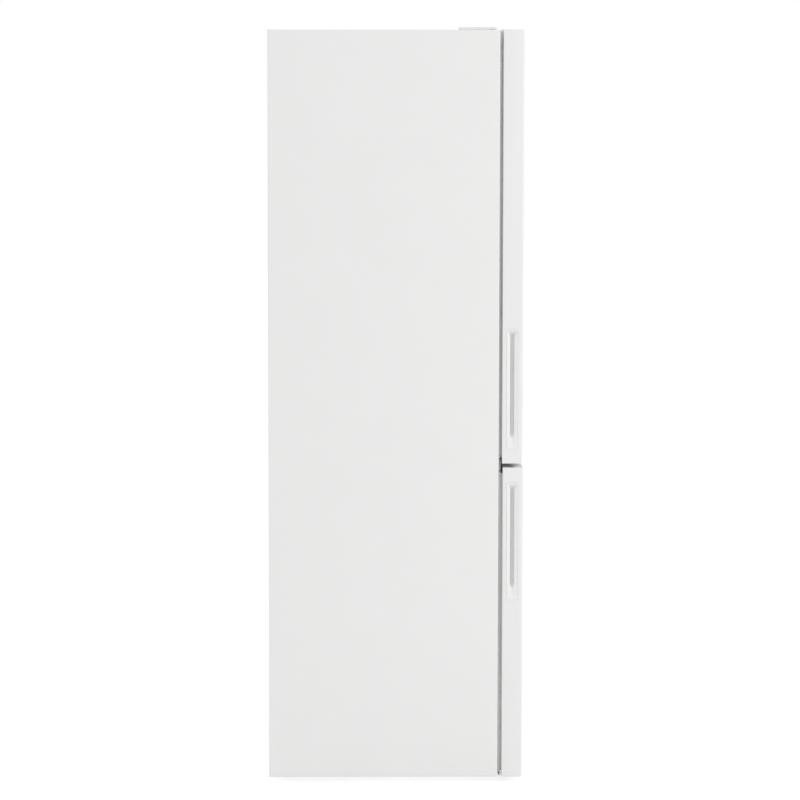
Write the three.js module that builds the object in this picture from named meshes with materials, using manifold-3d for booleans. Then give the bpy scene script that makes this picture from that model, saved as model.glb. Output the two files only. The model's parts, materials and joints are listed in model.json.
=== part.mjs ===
// A refrigerator with two doors, the freezer at the bottom, hinged on the right and gripped on the left.
// Millimetres. +X points right for a person who faces the doors, +Y to the back and +Z up.
// The origin is on the floor, under the middle of the closed refrigerator's outer box.
import * as THREE from "three";
import { mergeVertices } from "three/addons/utils/BufferGeometryUtils.js";
import Module from "manifold-3d";

// ---------------------------------------------------------------- driving dimensions

const SEAT_GAP = 0.3; // left between two pieces that touch
const RUNNING_GAP = 0.4; // round a pin or a shaft that turns
const CUT_PAST = 5; // how far a cutting tool runs past the face that it cuts
const ARC_STEPS = 4; // straight lines in a quarter of a round corner
const ARC_MIDDLE = 1 - Math.SQRT1_2; // how far in a quarter-round's middle lies, for a radius of 1

// Cabinet
const CABINET_WIDTH = 595;
const CABINET_DEPTH = 564;
const CABINET_HEIGHT = 1834;
const FLOOR_CLEARANCE = 14;
const STEEL = 0.8;
const FOLD_RADIUS = 3;
const PANEL_CORNER_RADIUS = 4; // upper and lower front corners of a side panel
const FRONT_FLANGE = 22;
const REAR_FLANGE = 14;
const TOP_FLANGE = 30;
const BASE_FLANGE = 34;

// Compartments
const LINER = 1.5;
const LINER_CORNER_RADIUS = 18;
const FRIDGE_SIDE_WALL = 45;
const FRIDGE_BACK_WALL = 50;
const FRIDGE_CEILING_WALL = 50;
const FREEZER_SIDE_WALL = 60;
const FREEZER_BACK_WALL = 65;
const FREEZER_FLOOR_WALL = 65;
const DIVIDER = 72;
const CROSSBEAM_SHEET = 1.2;
const CROSSBEAM_RETURN = 25;

// Machine room, in the lower rear corner
const MACHINE_ROOM_DEPTH = 200;
const MACHINE_ROOM_HEIGHT = 216;
const MACHINE_ROOM_SLANT = 40;
const MACHINE_ROOM_WALL = 55; // foam between the machine room and the freezer
const BACK_PANEL_LAP = 12; // how far the back panel hangs over the machine room's opening

// Doors
const DOOR_SPACE = 10.5; // between the two doors
const DOOR_SPLIT_HEIGHT = 787.5; // middle of that space
const DOOR_TOP_RISE = 1.5; // upper door above the cabinet
const UPPER_DOOR_GAP = 8;
const UPPER_DOOR_THICKNESS = 51;
const LOWER_DOOR_GAP = 10;
const LOWER_DOOR_THICKNESS = 50.5;
const DOOR_EDGE_RADIUS = 5;
const DOOR_REAR_RADIUS = 1;
const DOOR_RETURN = 24;
const CAP_HEIGHT = 12;
const GASKET_INSET = 14;
const GASKET_WIDTH = 20;
const GASKET_NECK_INSET = 2.5;
const GASKET_FOOT_SHARE = 0.28; // of the door's gap, at the door and again at the cabinet
const DYKE_REACH = 38;
const DYKE_WIDTH = 26;
const DYKE_SIDE_CLEARANCE = 14.5;
const DYKE_END_CLEARANCE = 9;
const PLUG_REACH = 4;
const PLUG_CLEARANCE = 12;

// Grips: a tall recess in the left edge of each door
const GRIP_WIDTH = 28;
const GRIP_FRONT_MARGIN = 13;
const UPPER_GRIP_HEIGHT = 297;
const LOWER_GRIP_HEIGHT = 292;
const UPPER_GRIP_ABOVE_DOOR_BOTTOM = 33.5;
const LOWER_GRIP_BELOW_DOOR_TOP = 35.5;
const GRIP_CORNER_RADIUS = 7.5;
const GRIP_LIP = 1.2;
const GRIP_WALL = 2.5;
const GRIP_TRAY_DEPTH = 5;
const GRIP_SLOT_DEPTH = 23;
const GRIP_SLOT_WIDE = 18;
const GRIP_SLOT_NARROW = 10;
const GRIP_SLOT_END_MARGIN = 6.5;
const GRIP_RAMP = 27; // height of the slope at the slot's lower end

// Hinges, on the right
const HINGE_INSET = 18; // pin's axis from the doors' right edge
const HINGE_AHEAD = 42; // pin's axis ahead of the cabinet
const PIN_RADIUS = 4;
const PIN_REACH = 19; // into a door's cap
const PIN_BOSS_RADIUS = 10;
const PIN_BOSS_FLOOR = 3;
const TONGUE_HALF_WIDTH = 10;
const HINGE_PLATE = 3;
const HINGE_PLATE_WIDTH = 58;
const HINGE_PLATE_LENGTH = 68;
const TONGUE_NOTCH_CLEARANCE = 0.7;
const TONGUE_SIDE_CLEARANCE = 4;
const JOGGLE_LENGTH = 6;
const MIDDLE_TONGUE = 4;
const MIDDLE_FLANGE = 2.5;
const MIDDLE_FLANGE_HEIGHT = 31;
const MIDDLE_FLANGE_WIDTH = 64;
const COVER_HEIGHT = 12;
const COVER_AHEAD = 15;
const COVER_LENGTH = 98;
const COVER_WIDTH = 80;
const COVER_WALL = 2;
const COVER_SIDE_MARGIN = 4;
const COVER_CORNER_RADIUS = 6;

// Feet and rollers
const FOOT_INSET = 92;
const FOOT_SETBACK = 46;
const FOOT_RADIUS = 18;
const FOOT_PAD = 8;
const STEM_RADIUS = 5;
const STEM_LENGTH = 40;
const STEM_WELL_CLEARANCE = 5;
const FOOT_EDGE = 2;
const ROLLER_INSET = 80;
const ROLLER_SETBACK = 42;
const ROLLER_RADIUS = 14;
const ROLLER_WIDTH = 20;
const ROLLER_SPACE = 2; // between the roller and its brackets and cut-out
const AXLE_RADIUS = 3;
const AXLE_HEAD_RADIUS = 5;
const BRACKET = 2;
const BRACKET_WIDTH = 20;
const BRACKET_BELOW_AXLE = 7;

// Machinery
const BASE_PAN_HEIGHT = 24; // underside of the compressor base
const BASE_PAN = 1.2;
const BASE_PAN_LIP = 10;
const COMPRESSOR_RADIUS = 66;
const COMPRESSOR_HEIGHT = 122;
const COMPRESSOR_X = 60;
const COMPRESSOR_SEAM_WIDTH = 4;
const COMPRESSOR_BOTTOM_ROUND = 14;
const COMPRESSOR_TOP_ROUND = 34;
const COMPRESSOR_FOOT_PLATE = [150, 112, 3];
const GROMMET_RADIUS = 10;
const GROMMET_HEIGHT = 11;
const RELAY_BOX = [34, 62, 58];
const STUB_RADIUS = 6;
const STUB_LENGTH = 10;
const STUB_DROP = 37; // stub's axis below the compressor's top
const PIPE_RADIUS = 3.2;
const PIPE_BEND = 24;
const DRIP_TRAY = [170, 120, 24];
const TRAY_WALL = 2;
const VENT_ROWS = 3;
const VENT_COLUMNS = 6;
const VENT_SLOT = [58, 7];
const VENT_ROW_PITCH = 28;
const VENT_COLUMN_PITCH = 76;
const GLAND_RADIUS = 9;
const GLAND_BORE = 4.5;
const GLAND_LENGTH = 9;
const GLAND_INSET = 70;
const GLAND_HEIGHT = 46;

// Freezer air path
const DUCT_PANEL = 3;
const DUCT_SPACE = 58; // between the duct panel and the liner's back wall
const FAN_DROP = 78; // fan's axis below the freezer's ceiling
const FAN_OPENING_RADIUS = 52;
const IMPELLER_RADIUS = 47;
const IMPELLER_DEPTH = 14;
const IMPELLER_HUB_RADIUS = 15;
const BLADE_COUNT = 5;
const BLADE_THICKNESS = 2;
const BLADE_PITCH = 32; // degrees
const MOTOR_RADIUS = 19;
const MOTOR_PLATE = [110, 2.5, 46];
const SHAFT_RADIUS = 2.5;
const MOTOR_CLEARANCE = 5; // between the impeller and the motor
const OUTLET_SLOT = [150, 9];
const OUTLET_DROPS = [150, 178, 206, 320, 348];
const EVAPORATOR_SIDE_MARGIN = 32.5;
const EVAPORATOR_DEPTH = 40;
const EVAPORATOR_HEIGHT = 190;
const EVAPORATOR_FLOOR_MARGIN = 22;
const END_PLATE = 3;
const FIN_GROOVES = 12;
const FIN_GROOVE = [10, 6];

// Fridge fittings
const SHELF = 4;
const SHELF_SIDE_CLEARANCE = 1.5;
const SHELF_BACK_CLEARANCE = 3;
const CRISPER_LID_LIFT = 184; // top of the crisper's lid above the fridge floor
const RIB_REACH = 9;
const RIB_HEIGHT = 6;
const AIR_DUCT_HALF_WIDTH = 56;
const AIR_DUCT_DEPTH = 24;
const AIR_DUCT_WALL = 2;
const AIR_DUCT_LIFT = 196;
const AIR_DUCT_DROP = 70;
const AIR_OUTLET = [44, 8];
const AIR_OUTLET_RISES = [66, 114]; // above each shelf
const DAMPER_RISE = 35; // above the crisper's lid
const DAMPER_SLOT = [60, 8];
const DAMPER_KNOB = [16, 9, 12];
const DAMPER_FLANGE = 3; // how far the slider's rear plate laps over the slot
const HOUSING_HALF_WIDTH = 112;
const HOUSING_LENGTH = 196;
const HOUSING_HEIGHT = 36;
const HOUSING_CORNER_RADIUS = 10;
const LENS_HALF_WIDTH = 46;
const LENS_LENGTH = 104;
const LENS_DEPTH = 6;
const LENS_X = -40;
const KNOB_RADIUS = 14;
const KNOB_DEPTH = 15;
const KNOB_GRIP = [5, 6, 25];
const KNOB_X = 68;
const KNOB_SHAFT_RADIUS = 4;
const KNOB_SHAFT_LENGTH = 10;

// Drawers and door bins
const DRAWER_WALL = 2.5;
const DRAWER_CORNER_RADIUS = 14;
const CRISPER_SIDE_CLEARANCE = 17.5;
const CRISPER_LID_CLEARANCE = 9;
const CRISPER_BIN_CLEARANCE = 18; // between the crisper and the door bins
const FREEZER_DRAWER_SIDE_CLEARANCE = 16.5;
const FREEZER_DRAWER_CLEARANCE = 25; // between a freezer drawer and the lower door
const FREEZER_DRAWER_STEP_CLEARANCE = 8; // over the step of the machine room
const FREEZER_DRAWER_TOP_CLEARANCE = 18;
const FREEZER_DRAWER_END_CLEARANCE = 8;
const RUNNER_LAP = 7; // how far a runner reaches under its drawer
const PULL_HEIGHT = 26;
const PULL_HALF_WIDTH = 90;
const PULL_EDGE = 12;
const BIN_REACH = 104;
const BIN_HEIGHT = 88;
const BIN_CLEARANCE = 12; // between the lowest bin and the frame round the bins
const BIN_LEDGE = [6, 26, 8];
const BIN_CORNER_RADIUS = 12;

// ---------------------------------------------------------------- worked-out places

const halfWidth = CABINET_WIDTH / 2;
const doorReach = Math.max(UPPER_DOOR_GAP + UPPER_DOOR_THICKNESS, LOWER_DOOR_GAP + LOWER_DOOR_THICKNESS);
const back = (CABINET_DEPTH + doorReach) / 2;
const front = back - CABINET_DEPTH;
const bottom = FLOOR_CLEARANCE;
const top = bottom + CABINET_HEIGHT;

const fridgeHalf = halfWidth - FRIDGE_SIDE_WALL;
const fridgeBack = back - FRIDGE_BACK_WALL;
const fridgeFloor = DOOR_SPLIT_HEIGHT + DIVIDER / 2;
const fridgeCeiling = top - FRIDGE_CEILING_WALL;
const freezerHalf = halfWidth - FREEZER_SIDE_WALL;
const freezerBack = back - FREEZER_BACK_WALL;
const freezerFloor = bottom + FREEZER_FLOOR_WALL;
const freezerCeiling = DOOR_SPLIT_HEIGHT - DIVIDER / 2;

const machineFront = back - MACHINE_ROOM_DEPTH;
const machineTop = bottom + MACHINE_ROOM_HEIGHT;
const stepTop = machineTop + MACHINE_ROOM_WALL;

const hingeX = halfWidth - HINGE_INSET;
const hingeY = front - HINGE_AHEAD;

const upperDoor = {
  name: "upper_door",
  bottom: DOOR_SPLIT_HEIGHT + DOOR_SPACE / 2,
  height: top + DOOR_TOP_RISE - DOOR_SPLIT_HEIGHT - DOOR_SPACE / 2,
  gap: UPPER_DOOR_GAP,
  thickness: UPPER_DOOR_THICKNESS,
  grip: [UPPER_GRIP_ABOVE_DOOR_BOTTOM, UPPER_GRIP_ABOVE_DOOR_BOTTOM + UPPER_GRIP_HEIGHT],
  notched: true,
};
const lowerDoor = {
  name: "lower_door",
  bottom,
  height: DOOR_SPLIT_HEIGHT - DOOR_SPACE / 2 - bottom,
  gap: LOWER_DOOR_GAP,
  thickness: LOWER_DOOR_THICKNESS,
  notched: false,
};
lowerDoor.grip = [
  lowerDoor.height - LOWER_GRIP_BELOW_DOOR_TOP - LOWER_GRIP_HEIGHT,
  lowerDoor.height - LOWER_GRIP_BELOW_DOOR_TOP,
];
const upperDoorTop = upperDoor.bottom + upperDoor.height;

const binFace = front - UPPER_DOOR_GAP + BIN_REACH; // the bins' inner face with the door closed
const crisperFront = binFace + CRISPER_BIN_CLEARANCE;
const shelfFront = crisperFront;
const shelfBack = fridgeBack - AIR_DUCT_DEPTH - SHELF_BACK_CLEARANCE;
const ductPanelFront = freezerBack - DUCT_SPACE - DUCT_PANEL;
const fanHeight = freezerCeiling - FAN_DROP;

// The lowest freezer drawer stands on the floor before the step, and the other two share the height above it.
const drawerFront = front - LOWER_DOOR_GAP + PLUG_REACH + FREEZER_DRAWER_CLEARANCE;
const drawerHalf = freezerHalf - FREEZER_DRAWER_SIDE_CLEARANCE;
const longDrawerBack = ductPanelFront - FREEZER_DRAWER_END_CLEARANCE;
const shortDrawerBack = machineFront - MACHINE_ROOM_WALL - FREEZER_DRAWER_END_CLEARANCE;
const middleDrawerFloor = stepTop + FREEZER_DRAWER_STEP_CLEARANCE;
const upperDrawerFloor = (middleDrawerFloor + freezerCeiling) / 2;
const freezerDrawers = [
  { place: "lower", back: shortDrawerBack, z: [freezerFloor + SEAT_GAP, middleDrawerFloor] },
  { place: "middle", back: longDrawerBack, z: [middleDrawerFloor, upperDrawerFloor] },
  { place: "upper", back: longDrawerBack, z: [upperDrawerFloor, freezerCeiling] },
];

// The shelves stand at equal heights between the crisper's lid and the control housing.
const housingBottom = fridgeCeiling - SEAT_GAP - HOUSING_HEIGHT;
const crisperLidHeight = fridgeFloor + CRISPER_LID_LIFT;
const shelfNames = ["shelf_lower", "shelf_middle", "shelf_upper"];
const shelfSpacing = (housingBottom - crisperLidHeight) / (shelfNames.length + 1);
const shelfHeights = shelfNames.map((_, i) => crisperLidHeight + (i + 1) * shelfSpacing);

// ---------------------------------------------------------------- finishes

const WHITE_PAINT = { color: 0xe8e8e6, roughness: 0.42, metalness: 0 };
const WHITE_PLASTIC = { color: 0xeeeeec, roughness: 0.38, metalness: 0 };
const GREY_PLASTIC = { color: 0x6f7073, roughness: 0.5, metalness: 0 };
const DARK_PLASTIC = { color: 0x2c2d2f, roughness: 0.6, metalness: 0 };
const GASKET_RUBBER = { color: 0xb9babb, roughness: 0.7, metalness: 0 };
const FOAM = { color: 0xe6d9ae, roughness: 0.95, metalness: 0 };
const ZINC = { color: 0xb4b7ba, roughness: 0.35, metalness: 1 };
const ALUMINIUM = { color: 0xcfd2d4, roughness: 0.4, metalness: 1 };
const COPPER = { color: 0xb87352, roughness: 0.35, metalness: 1 };
const BLACK_PAINT = { color: 0x151617, roughness: 0.45, metalness: 0 };
const GLASS = { color: 0xdfeee8, roughness: 0.06, metalness: 0 };
const CLEAR_PLASTIC = { color: 0xe6eef2, roughness: 0.12, metalness: 0 };

// ---------------------------------------------------------------- solids

const wasm = await Module();
wasm.setup();

function toSolid(geometry) {
  const bare = geometry.clone();
  bare.deleteAttribute("normal");
  bare.deleteAttribute("uv");
  const merged = mergeVertices(bare, 1e-4);
  const corners = merged.index.array;
  const faces = [];
  for (let i = 0; i < corners.length; i += 3) {
    const [a, b, c] = corners.slice(i, i + 3);
    if (a !== b && b !== c && c !== a) faces.push(a, b, c);
  }
  const vertProperties = new Float32Array(merged.attributes.position.array);
  return new wasm.Manifold(new wasm.Mesh({ numProp: 3, vertProperties, triVerts: new Uint32Array(faces) }));
}

function toGeometry(solid) {
  const { vertProperties, triVerts } = solid.getMesh();
  const geometry = new THREE.BufferGeometry();
  geometry.setAttribute("position", new THREE.BufferAttribute(vertProperties, 3));
  geometry.setIndex(new THREE.BufferAttribute(triVerts, 1));
  geometry.computeVertexNormals();
  return geometry;
}

const join = (...solids) => solids.reduce((whole, piece) => whole.add(piece));
const cut = (solid, ...tools) => tools.reduce((rest, tool) => rest.subtract(tool), solid);
const span = (a, b) => [Math.min(a, b), Math.max(a, b)];
const around = (middle, length) => [middle - length / 2, middle + length / 2];
const middleOf = ([low, high]) => (low + high) / 2;
const grown = ([low, high], by) => [low - by, high + by];

function block(x, y, z) {
  const geometry = new THREE.BoxGeometry(x[1] - x[0], y[1] - y[0], z[1] - z[0]);
  geometry.translate(middleOf(x), middleOf(y), middleOf(z));
  return toSolid(geometry);
}

function quarterArc(u, v, radius, start) {
  if (radius <= 0) return [new THREE.Vector2(u, v)];
  return Array.from({ length: ARC_STEPS + 1 }, (_, i) => {
    const angle = start + (i / ARC_STEPS) * (Math.PI / 2);
    return new THREE.Vector2(u + radius * Math.cos(angle), v + radius * Math.sin(angle));
  });
}

// A rectangle with round corners. Four radii go round from the corner that is low in both directions.
function rectangle([left, right], [low, high], radii) {
  const [a, b, c, d] = Array.isArray(radii) ? radii : [radii, radii, radii, radii];
  return new THREE.Shape([
    ...quarterArc(left + a, low + a, a, Math.PI),
    ...quarterArc(right - b, low + b, b, 1.5 * Math.PI),
    ...quarterArc(right - c, high - c, c, 0),
    ...quarterArc(left + d, high - d, d, 0.5 * Math.PI),
  ]);
}

const polygon = (points) => new THREE.Shape(points.map(([u, v]) => new THREE.Vector2(u, v)));

// An outline is drawn in y and z to run along x, in x and z to run along y, and in x and y to run along z.
const X = new THREE.Vector3(1, 0, 0);
const Y = new THREE.Vector3(0, 1, 0);
const Z = new THREE.Vector3(0, 0, 1);
const DRAWING_FRAMES = {
  x: new THREE.Matrix4().makeBasis(Y, Z, X),
  y: new THREE.Matrix4().makeBasis(X, Z, Y.clone().negate()),
  z: new THREE.Matrix4().makeBasis(X, Y, Z),
};
const alongAxis = (axis, [low, high]) => (axis === "y" ? [-high, -low] : [low, high]);

function prism(axis, shape, length) {
  const [low, high] = alongAxis(axis, length);
  const geometry = new THREE.ExtrudeGeometry(shape, { depth: high - low, bevelEnabled: false });
  geometry.translate(0, 0, low);
  geometry.applyMatrix4(DRAWING_FRAMES[axis]);
  return toSolid(geometry);
}

function rod(axis, [u, v], radius, length, sides = 24) {
  const [low, high] = alongAxis(axis, length);
  const geometry = new THREE.CylinderGeometry(radius, radius, high - low, sides);
  geometry.rotateX(Math.PI / 2);
  geometry.translate(u, v, (low + high) / 2);
  geometry.applyMatrix4(DRAWING_FRAMES[axis]);
  return toSolid(geometry);
}

// Turns a profile of radius and height round a vertical axis through the origin.
function turned(profile, sides = 32) {
  const points = profile.map(([radius, height]) => new THREE.Vector2(radius, height));
  const geometry = new THREE.LatheGeometry(points, sides);
  geometry.rotateX(Math.PI / 2);
  return toSolid(geometry);
}

// An outline that runs along x and widens from its floor to its mouth by spread on every side.
function wideningAlongX(shape, mouth, floor, spread) {
  const geometry = new THREE.ExtrudeGeometry(shape, {
    depth: CUT_PAST,
    bevelThickness: floor - mouth,
    bevelSize: spread,
    bevelSegments: 1,
  });
  geometry.translate(0, 0, mouth - CUT_PAST);
  geometry.applyMatrix4(DRAWING_FRAMES.x);
  return toSolid(geometry);
}

function tray(x, y, z, wall, radius) {
  const outside = prism("z", rectangle(x, y, radius), z);
  const hollow = rectangle(grown(x, -wall), grown(y, -wall), radius - wall);
  return cut(outside, prism("z", hollow, [z[0] + wall, z[1] + CUT_PAST]));
}

function add(group, name, solid, finish) {
  const mesh = new THREE.Mesh(toGeometry(solid), new THREE.MeshStandardMaterial(finish));
  mesh.name = name;
  group.add(mesh);
  return mesh;
}

// ---------------------------------------------------------------- shell of the cabinet

// Both side panels are one folded sheet each: a front flange, the side and a rear flange.
function sidePanel(side) {
  const outer = side * halfWidth;
  const inner = outer - side * STEEL;
  const deep = outer - side * 2 * FRONT_FLANGE;
  const radii = side < 0 ? [FOLD_RADIUS, 0, 0, FOLD_RADIUS] : [0, FOLD_RADIUS, FOLD_RADIUS, 0];
  const innerRadii = radii.map((radius) => Math.max(0, radius - STEEL));
  const height = [bottom, top];
  const cutHeight = grown(height, CUT_PAST);
  const hollow = rectangle(span(inner, deep - side * CUT_PAST), [front + STEEL, back - STEEL], innerRadii);
  const sheet = cut(
    prism("z", rectangle(span(outer, deep), [front, back], radii), height),
    prism("z", hollow, cutHeight),
    block(span(outer - side * FRONT_FLANGE, deep - side), [front - CUT_PAST, front + 2 * STEEL], cutHeight),
    block(span(outer - side * REAR_FLANGE, deep - side), [back - 2 * STEEL, back + CUT_PAST], cutHeight),
  );
  const sideView = rectangle([front, back], height, [PANEL_CORNER_RADIUS, 0, 0, PANEL_CORNER_RADIUS]);
  return sheet.intersect(prism("x", sideView, grown([-halfWidth, halfWidth], CUT_PAST)));
}

const betweenSides = halfWidth - STEEL - SEAT_GAP;
const betweenFrontFlanges = halfWidth - FRONT_FLANGE - SEAT_GAP;
const betweenRearFlanges = halfWidth - REAR_FLANGE - SEAT_GAP;
const across = (half) => [-half, half];

const sheetInset = STEEL + SEAT_GAP;
const insideShell = [front + sheetInset, back - sheetInset];
const clearOfRearFold = back - FOLD_RADIUS - SEAT_GAP;

function topPanel() {
  const sheet = [top - STEEL, top];
  return join(
    prism("z", rectangle(across(betweenSides), insideShell, FOLD_RADIUS - STEEL), sheet),
    block(across(betweenFrontFlanges), [front, front + 2 * sheetInset], sheet),
    block(across(betweenFrontFlanges), [front, front + STEEL], [top - TOP_FLANGE, top]),
  );
}

function backPanel() {
  return block(
    across(betweenRearFlanges),
    [back - STEEL, back],
    [machineTop - BACK_PANEL_LAP, top - sheetInset],
  );
}

// The machine room seen from the side, grown into the foam by an offset.
function machineRoom(offset, floor) {
  const slantShift = offset * Math.tan(Math.PI / 8);
  return polygon([
    [machineFront - offset, floor],
    [back + CUT_PAST, floor],
    [back + CUT_PAST, machineTop + offset],
    [machineFront + MACHINE_ROOM_SLANT - slantShift, machineTop + offset],
    [machineFront - offset, machineTop - MACHINE_ROOM_SLANT + slantShift],
  ]);
}

function basePlate() {
  const x = across(betweenSides);
  const step = cut(
    prism("x", machineRoom(STEEL, bottom), x),
    prism("x", machineRoom(0, bottom - CUT_PAST), grown(x, CUT_PAST)),
    block(grown(x, CUT_PAST), [clearOfRearFold, back + 2 * CUT_PAST], [bottom, machineTop + CUT_PAST]),
  );
  const stemHoles = [-1, 1].map((side) =>
    rod("z", footPlace(side), STEM_RADIUS + RUNNING_GAP, around(bottom, 2 * CUT_PAST)),
  );
  const floorRadii = [FOLD_RADIUS - STEEL, FOLD_RADIUS - STEEL, 0, 0];
  return cut(
    join(
      prism("z", rectangle(x, [front + sheetInset, machineFront], floorRadii), [bottom, bottom + STEEL]),
      block(across(betweenFrontFlanges), [front, front + 2 * sheetInset], [bottom, bottom + STEEL]),
      block(across(betweenFrontFlanges), [front, front + STEEL], [bottom, bottom + BASE_FLANGE]),
      step,
    ),
    ...stemHoles,
  );
}

// ---------------------------------------------------------------- compartments

function fridgeSpace(grow, from) {
  const outline = rectangle(
    grown(across(fridgeHalf), grow),
    grown([fridgeFloor, fridgeCeiling], grow),
    LINER_CORNER_RADIUS + grow,
  );
  return prism("y", outline, [from, fridgeBack + grow]);
}

// The freezer steps back over the machine room.
function freezerSpace(grow, from) {
  const outline = rectangle(
    grown(across(freezerHalf), grow),
    grown([freezerFloor, freezerCeiling], grow),
    LINER_CORNER_RADIUS + grow,
  );
  const step = machineRoom(MACHINE_ROOM_WALL - grow, bottom - CUT_PAST);
  return cut(
    prism("y", outline, [from, freezerBack + grow]),
    prism("x", step, grown(across(halfWidth), CUT_PAST)),
  );
}

function sideRibs(half, y, tops) {
  return tops.flatMap((height) =>
    [-1, 1].map((side) =>
      block(span(side * (half + LINER / 2), side * (half - RIB_REACH)), y, [height - RIB_HEIGHT, height]),
    ),
  );
}

function fridgeLiner() {
  const flange = block(
    across(betweenFrontFlanges),
    [front, front + LINER],
    [fridgeFloor - LINER, top - TOP_FLANGE - SEAT_GAP],
  );
  const shell = cut(join(fridgeSpace(LINER, front), flange), fridgeSpace(0, front - CUT_PAST));
  const ribTops = [crisperLidHeight, ...shelfHeights].map((height) => height - SHELF - SEAT_GAP);
  return join(shell, ...sideRibs(fridgeHalf, [shelfFront, shelfBack], ribTops));
}

// Two runners carry each freezer drawer that doesn't stand on the floor.
function drawerRunners() {
  return [middleDrawerFloor, upperDrawerFloor].flatMap((floor) =>
    [-1, 1].map((side) =>
      block(
        span(side * (freezerHalf + LINER / 2), side * (drawerHalf - RUNNER_LAP)),
        [drawerFront, longDrawerBack],
        [floor - RIB_HEIGHT - SEAT_GAP, floor - SEAT_GAP],
      ),
    ),
  );
}

function freezerLiner() {
  const flange = block(
    across(betweenFrontFlanges),
    [front, front + LINER],
    [bottom + BASE_FLANGE + SEAT_GAP, freezerCeiling + LINER],
  );
  const shell = cut(join(freezerSpace(LINER, front), flange), freezerSpace(0, front - CUT_PAST));
  return join(shell, ...drawerRunners());
}

const crossbeamHeight = [freezerCeiling + LINER + SEAT_GAP, fridgeFloor - LINER - SEAT_GAP];

function middleCrossbeam() {
  const x = across(betweenFrontFlanges);
  return cut(
    block(x, [front, front + CROSSBEAM_RETURN], crossbeamHeight),
    block(
      grown(x, CUT_PAST),
      [front + CROSSBEAM_SHEET, front + CROSSBEAM_RETURN + CUT_PAST],
      grown(crossbeamHeight, -CROSSBEAM_SHEET),
    ),
  );
}

function footPlace(side) {
  return [side * (halfWidth - FOOT_INSET), front + FOOT_SETBACK];
}

function insulationFoam() {
  const y = [front + LINER + SEAT_GAP, insideShell[1]];
  const plan = rectangle(across(betweenSides), y, FOLD_RADIUS - STEEL);
  const [beamBottom, beamTop] = crossbeamHeight;
  const beamX = across(betweenFrontFlanges + SEAT_GAP);
  const beamSlots = [
    [beamBottom - SEAT_GAP, beamBottom + CROSSBEAM_SHEET + SEAT_GAP],
    [beamTop - CROSSBEAM_SHEET - SEAT_GAP, beamTop],
  ].map((z) => block(beamX, [front, front + CROSSBEAM_RETURN + SEAT_GAP], z));
  const stemWell = [bottom, FOOT_PAD + STEM_LENGTH + STEM_WELL_CLEARANCE];
  const stemWells = [-1, 1].map((side) =>
    rod("z", footPlace(side), STEM_RADIUS + STEM_WELL_CLEARANCE, stemWell, 16),
  );
  return cut(
    prism("z", plan, [bottom + sheetInset, top - sheetInset]),
    fridgeSpace(LINER + SEAT_GAP, front - CUT_PAST),
    freezerSpace(LINER + SEAT_GAP, front - CUT_PAST),
    prism("x", machineRoom(sheetInset, bottom - CUT_PAST), across(halfWidth)),
    ...beamSlots,
    ...stemWells,
  );
}

// ---------------------------------------------------------------- hinges

const tongue = (z, to) => {
  const x = around(hingeX, 2 * TONGUE_HALF_WIDTH);
  return join(block(x, [hingeY, to], z), rod("z", [hingeX, hingeY], TONGUE_HALF_WIDTH, z));
};
const pin = (z) => rod("z", [hingeX, hingeY], PIN_RADIUS, z);
const hingePlateX = [hingeX + TONGUE_HALF_WIDTH - HINGE_PLATE_WIDTH, hingeX + TONGUE_HALF_WIDTH];

// Its plate lies on the cabinet and steps down into the notch of the upper door.
function topHinge() {
  const plateBottom = top + SEAT_GAP;
  const tongueZ = [upperDoorTop - HINGE_PLATE, upperDoorTop];
  const joggleStart = front - 2 * SEAT_GAP;
  const joggleEnd = joggleStart - JOGGLE_LENGTH;
  const joggle = polygon([
    [joggleEnd, tongueZ[0]],
    [joggleStart, plateBottom],
    [front + CUT_PAST, plateBottom],
    [front + CUT_PAST, plateBottom + HINGE_PLATE],
    [joggleStart, plateBottom + HINGE_PLATE],
    [joggleEnd, tongueZ[1]],
  ]);
  return join(
    block(hingePlateX, [front + STEEL, front + HINGE_PLATE_LENGTH], [plateBottom, plateBottom + HINGE_PLATE]),
    prism("x", joggle, around(hingeX, 2 * TONGUE_HALF_WIDTH)),
    tongue(tongueZ, joggleEnd),
    pin([upperDoorTop - HINGE_PLATE - PIN_REACH, upperDoorTop - STEEL]),
  );
}

function topHingeCover() {
  const outer = halfWidth - COVER_SIDE_MARGIN;
  const x = [outer - COVER_WIDTH, outer];
  const y = [front - COVER_AHEAD, front - COVER_AHEAD + COVER_LENGTH];
  const z = [top + SEAT_GAP, top + COVER_HEIGHT];
  return cut(
    prism("z", rectangle(x, y, COVER_CORNER_RADIUS), z),
    prism(
      "z",
      rectangle(grown(x, -COVER_WALL), grown(y, -COVER_WALL), COVER_CORNER_RADIUS - COVER_WALL),
      [z[0] - CUT_PAST, z[1] - COVER_WALL],
    ),
    block(
      grown(x, CUT_PAST),
      [y[0] - CUT_PAST, front - 2 * SEAT_GAP],
      [z[0] - CUT_PAST, upperDoorTop + TONGUE_NOTCH_CLEARANCE],
    ),
  );
}

// An upright flange on the crossbeam carries one tongue with a pin for each door.
function middleHinge() {
  const z = around(DOOR_SPLIT_HEIGHT, MIDDLE_TONGUE);
  const flangeY = [front - SEAT_GAP - MIDDLE_FLANGE, front - SEAT_GAP];
  const flangeX = [hingeX + TONGUE_HALF_WIDTH - MIDDLE_FLANGE_WIDTH, hingeX + TONGUE_HALF_WIDTH];
  return join(
    block(flangeX, flangeY, around(DOOR_SPLIT_HEIGHT, MIDDLE_FLANGE_HEIGHT)),
    tongue(z, flangeY[1]),
    pin([lowerDoor.bottom + lowerDoor.height - PIN_REACH, upperDoor.bottom + PIN_REACH]),
  );
}

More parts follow.
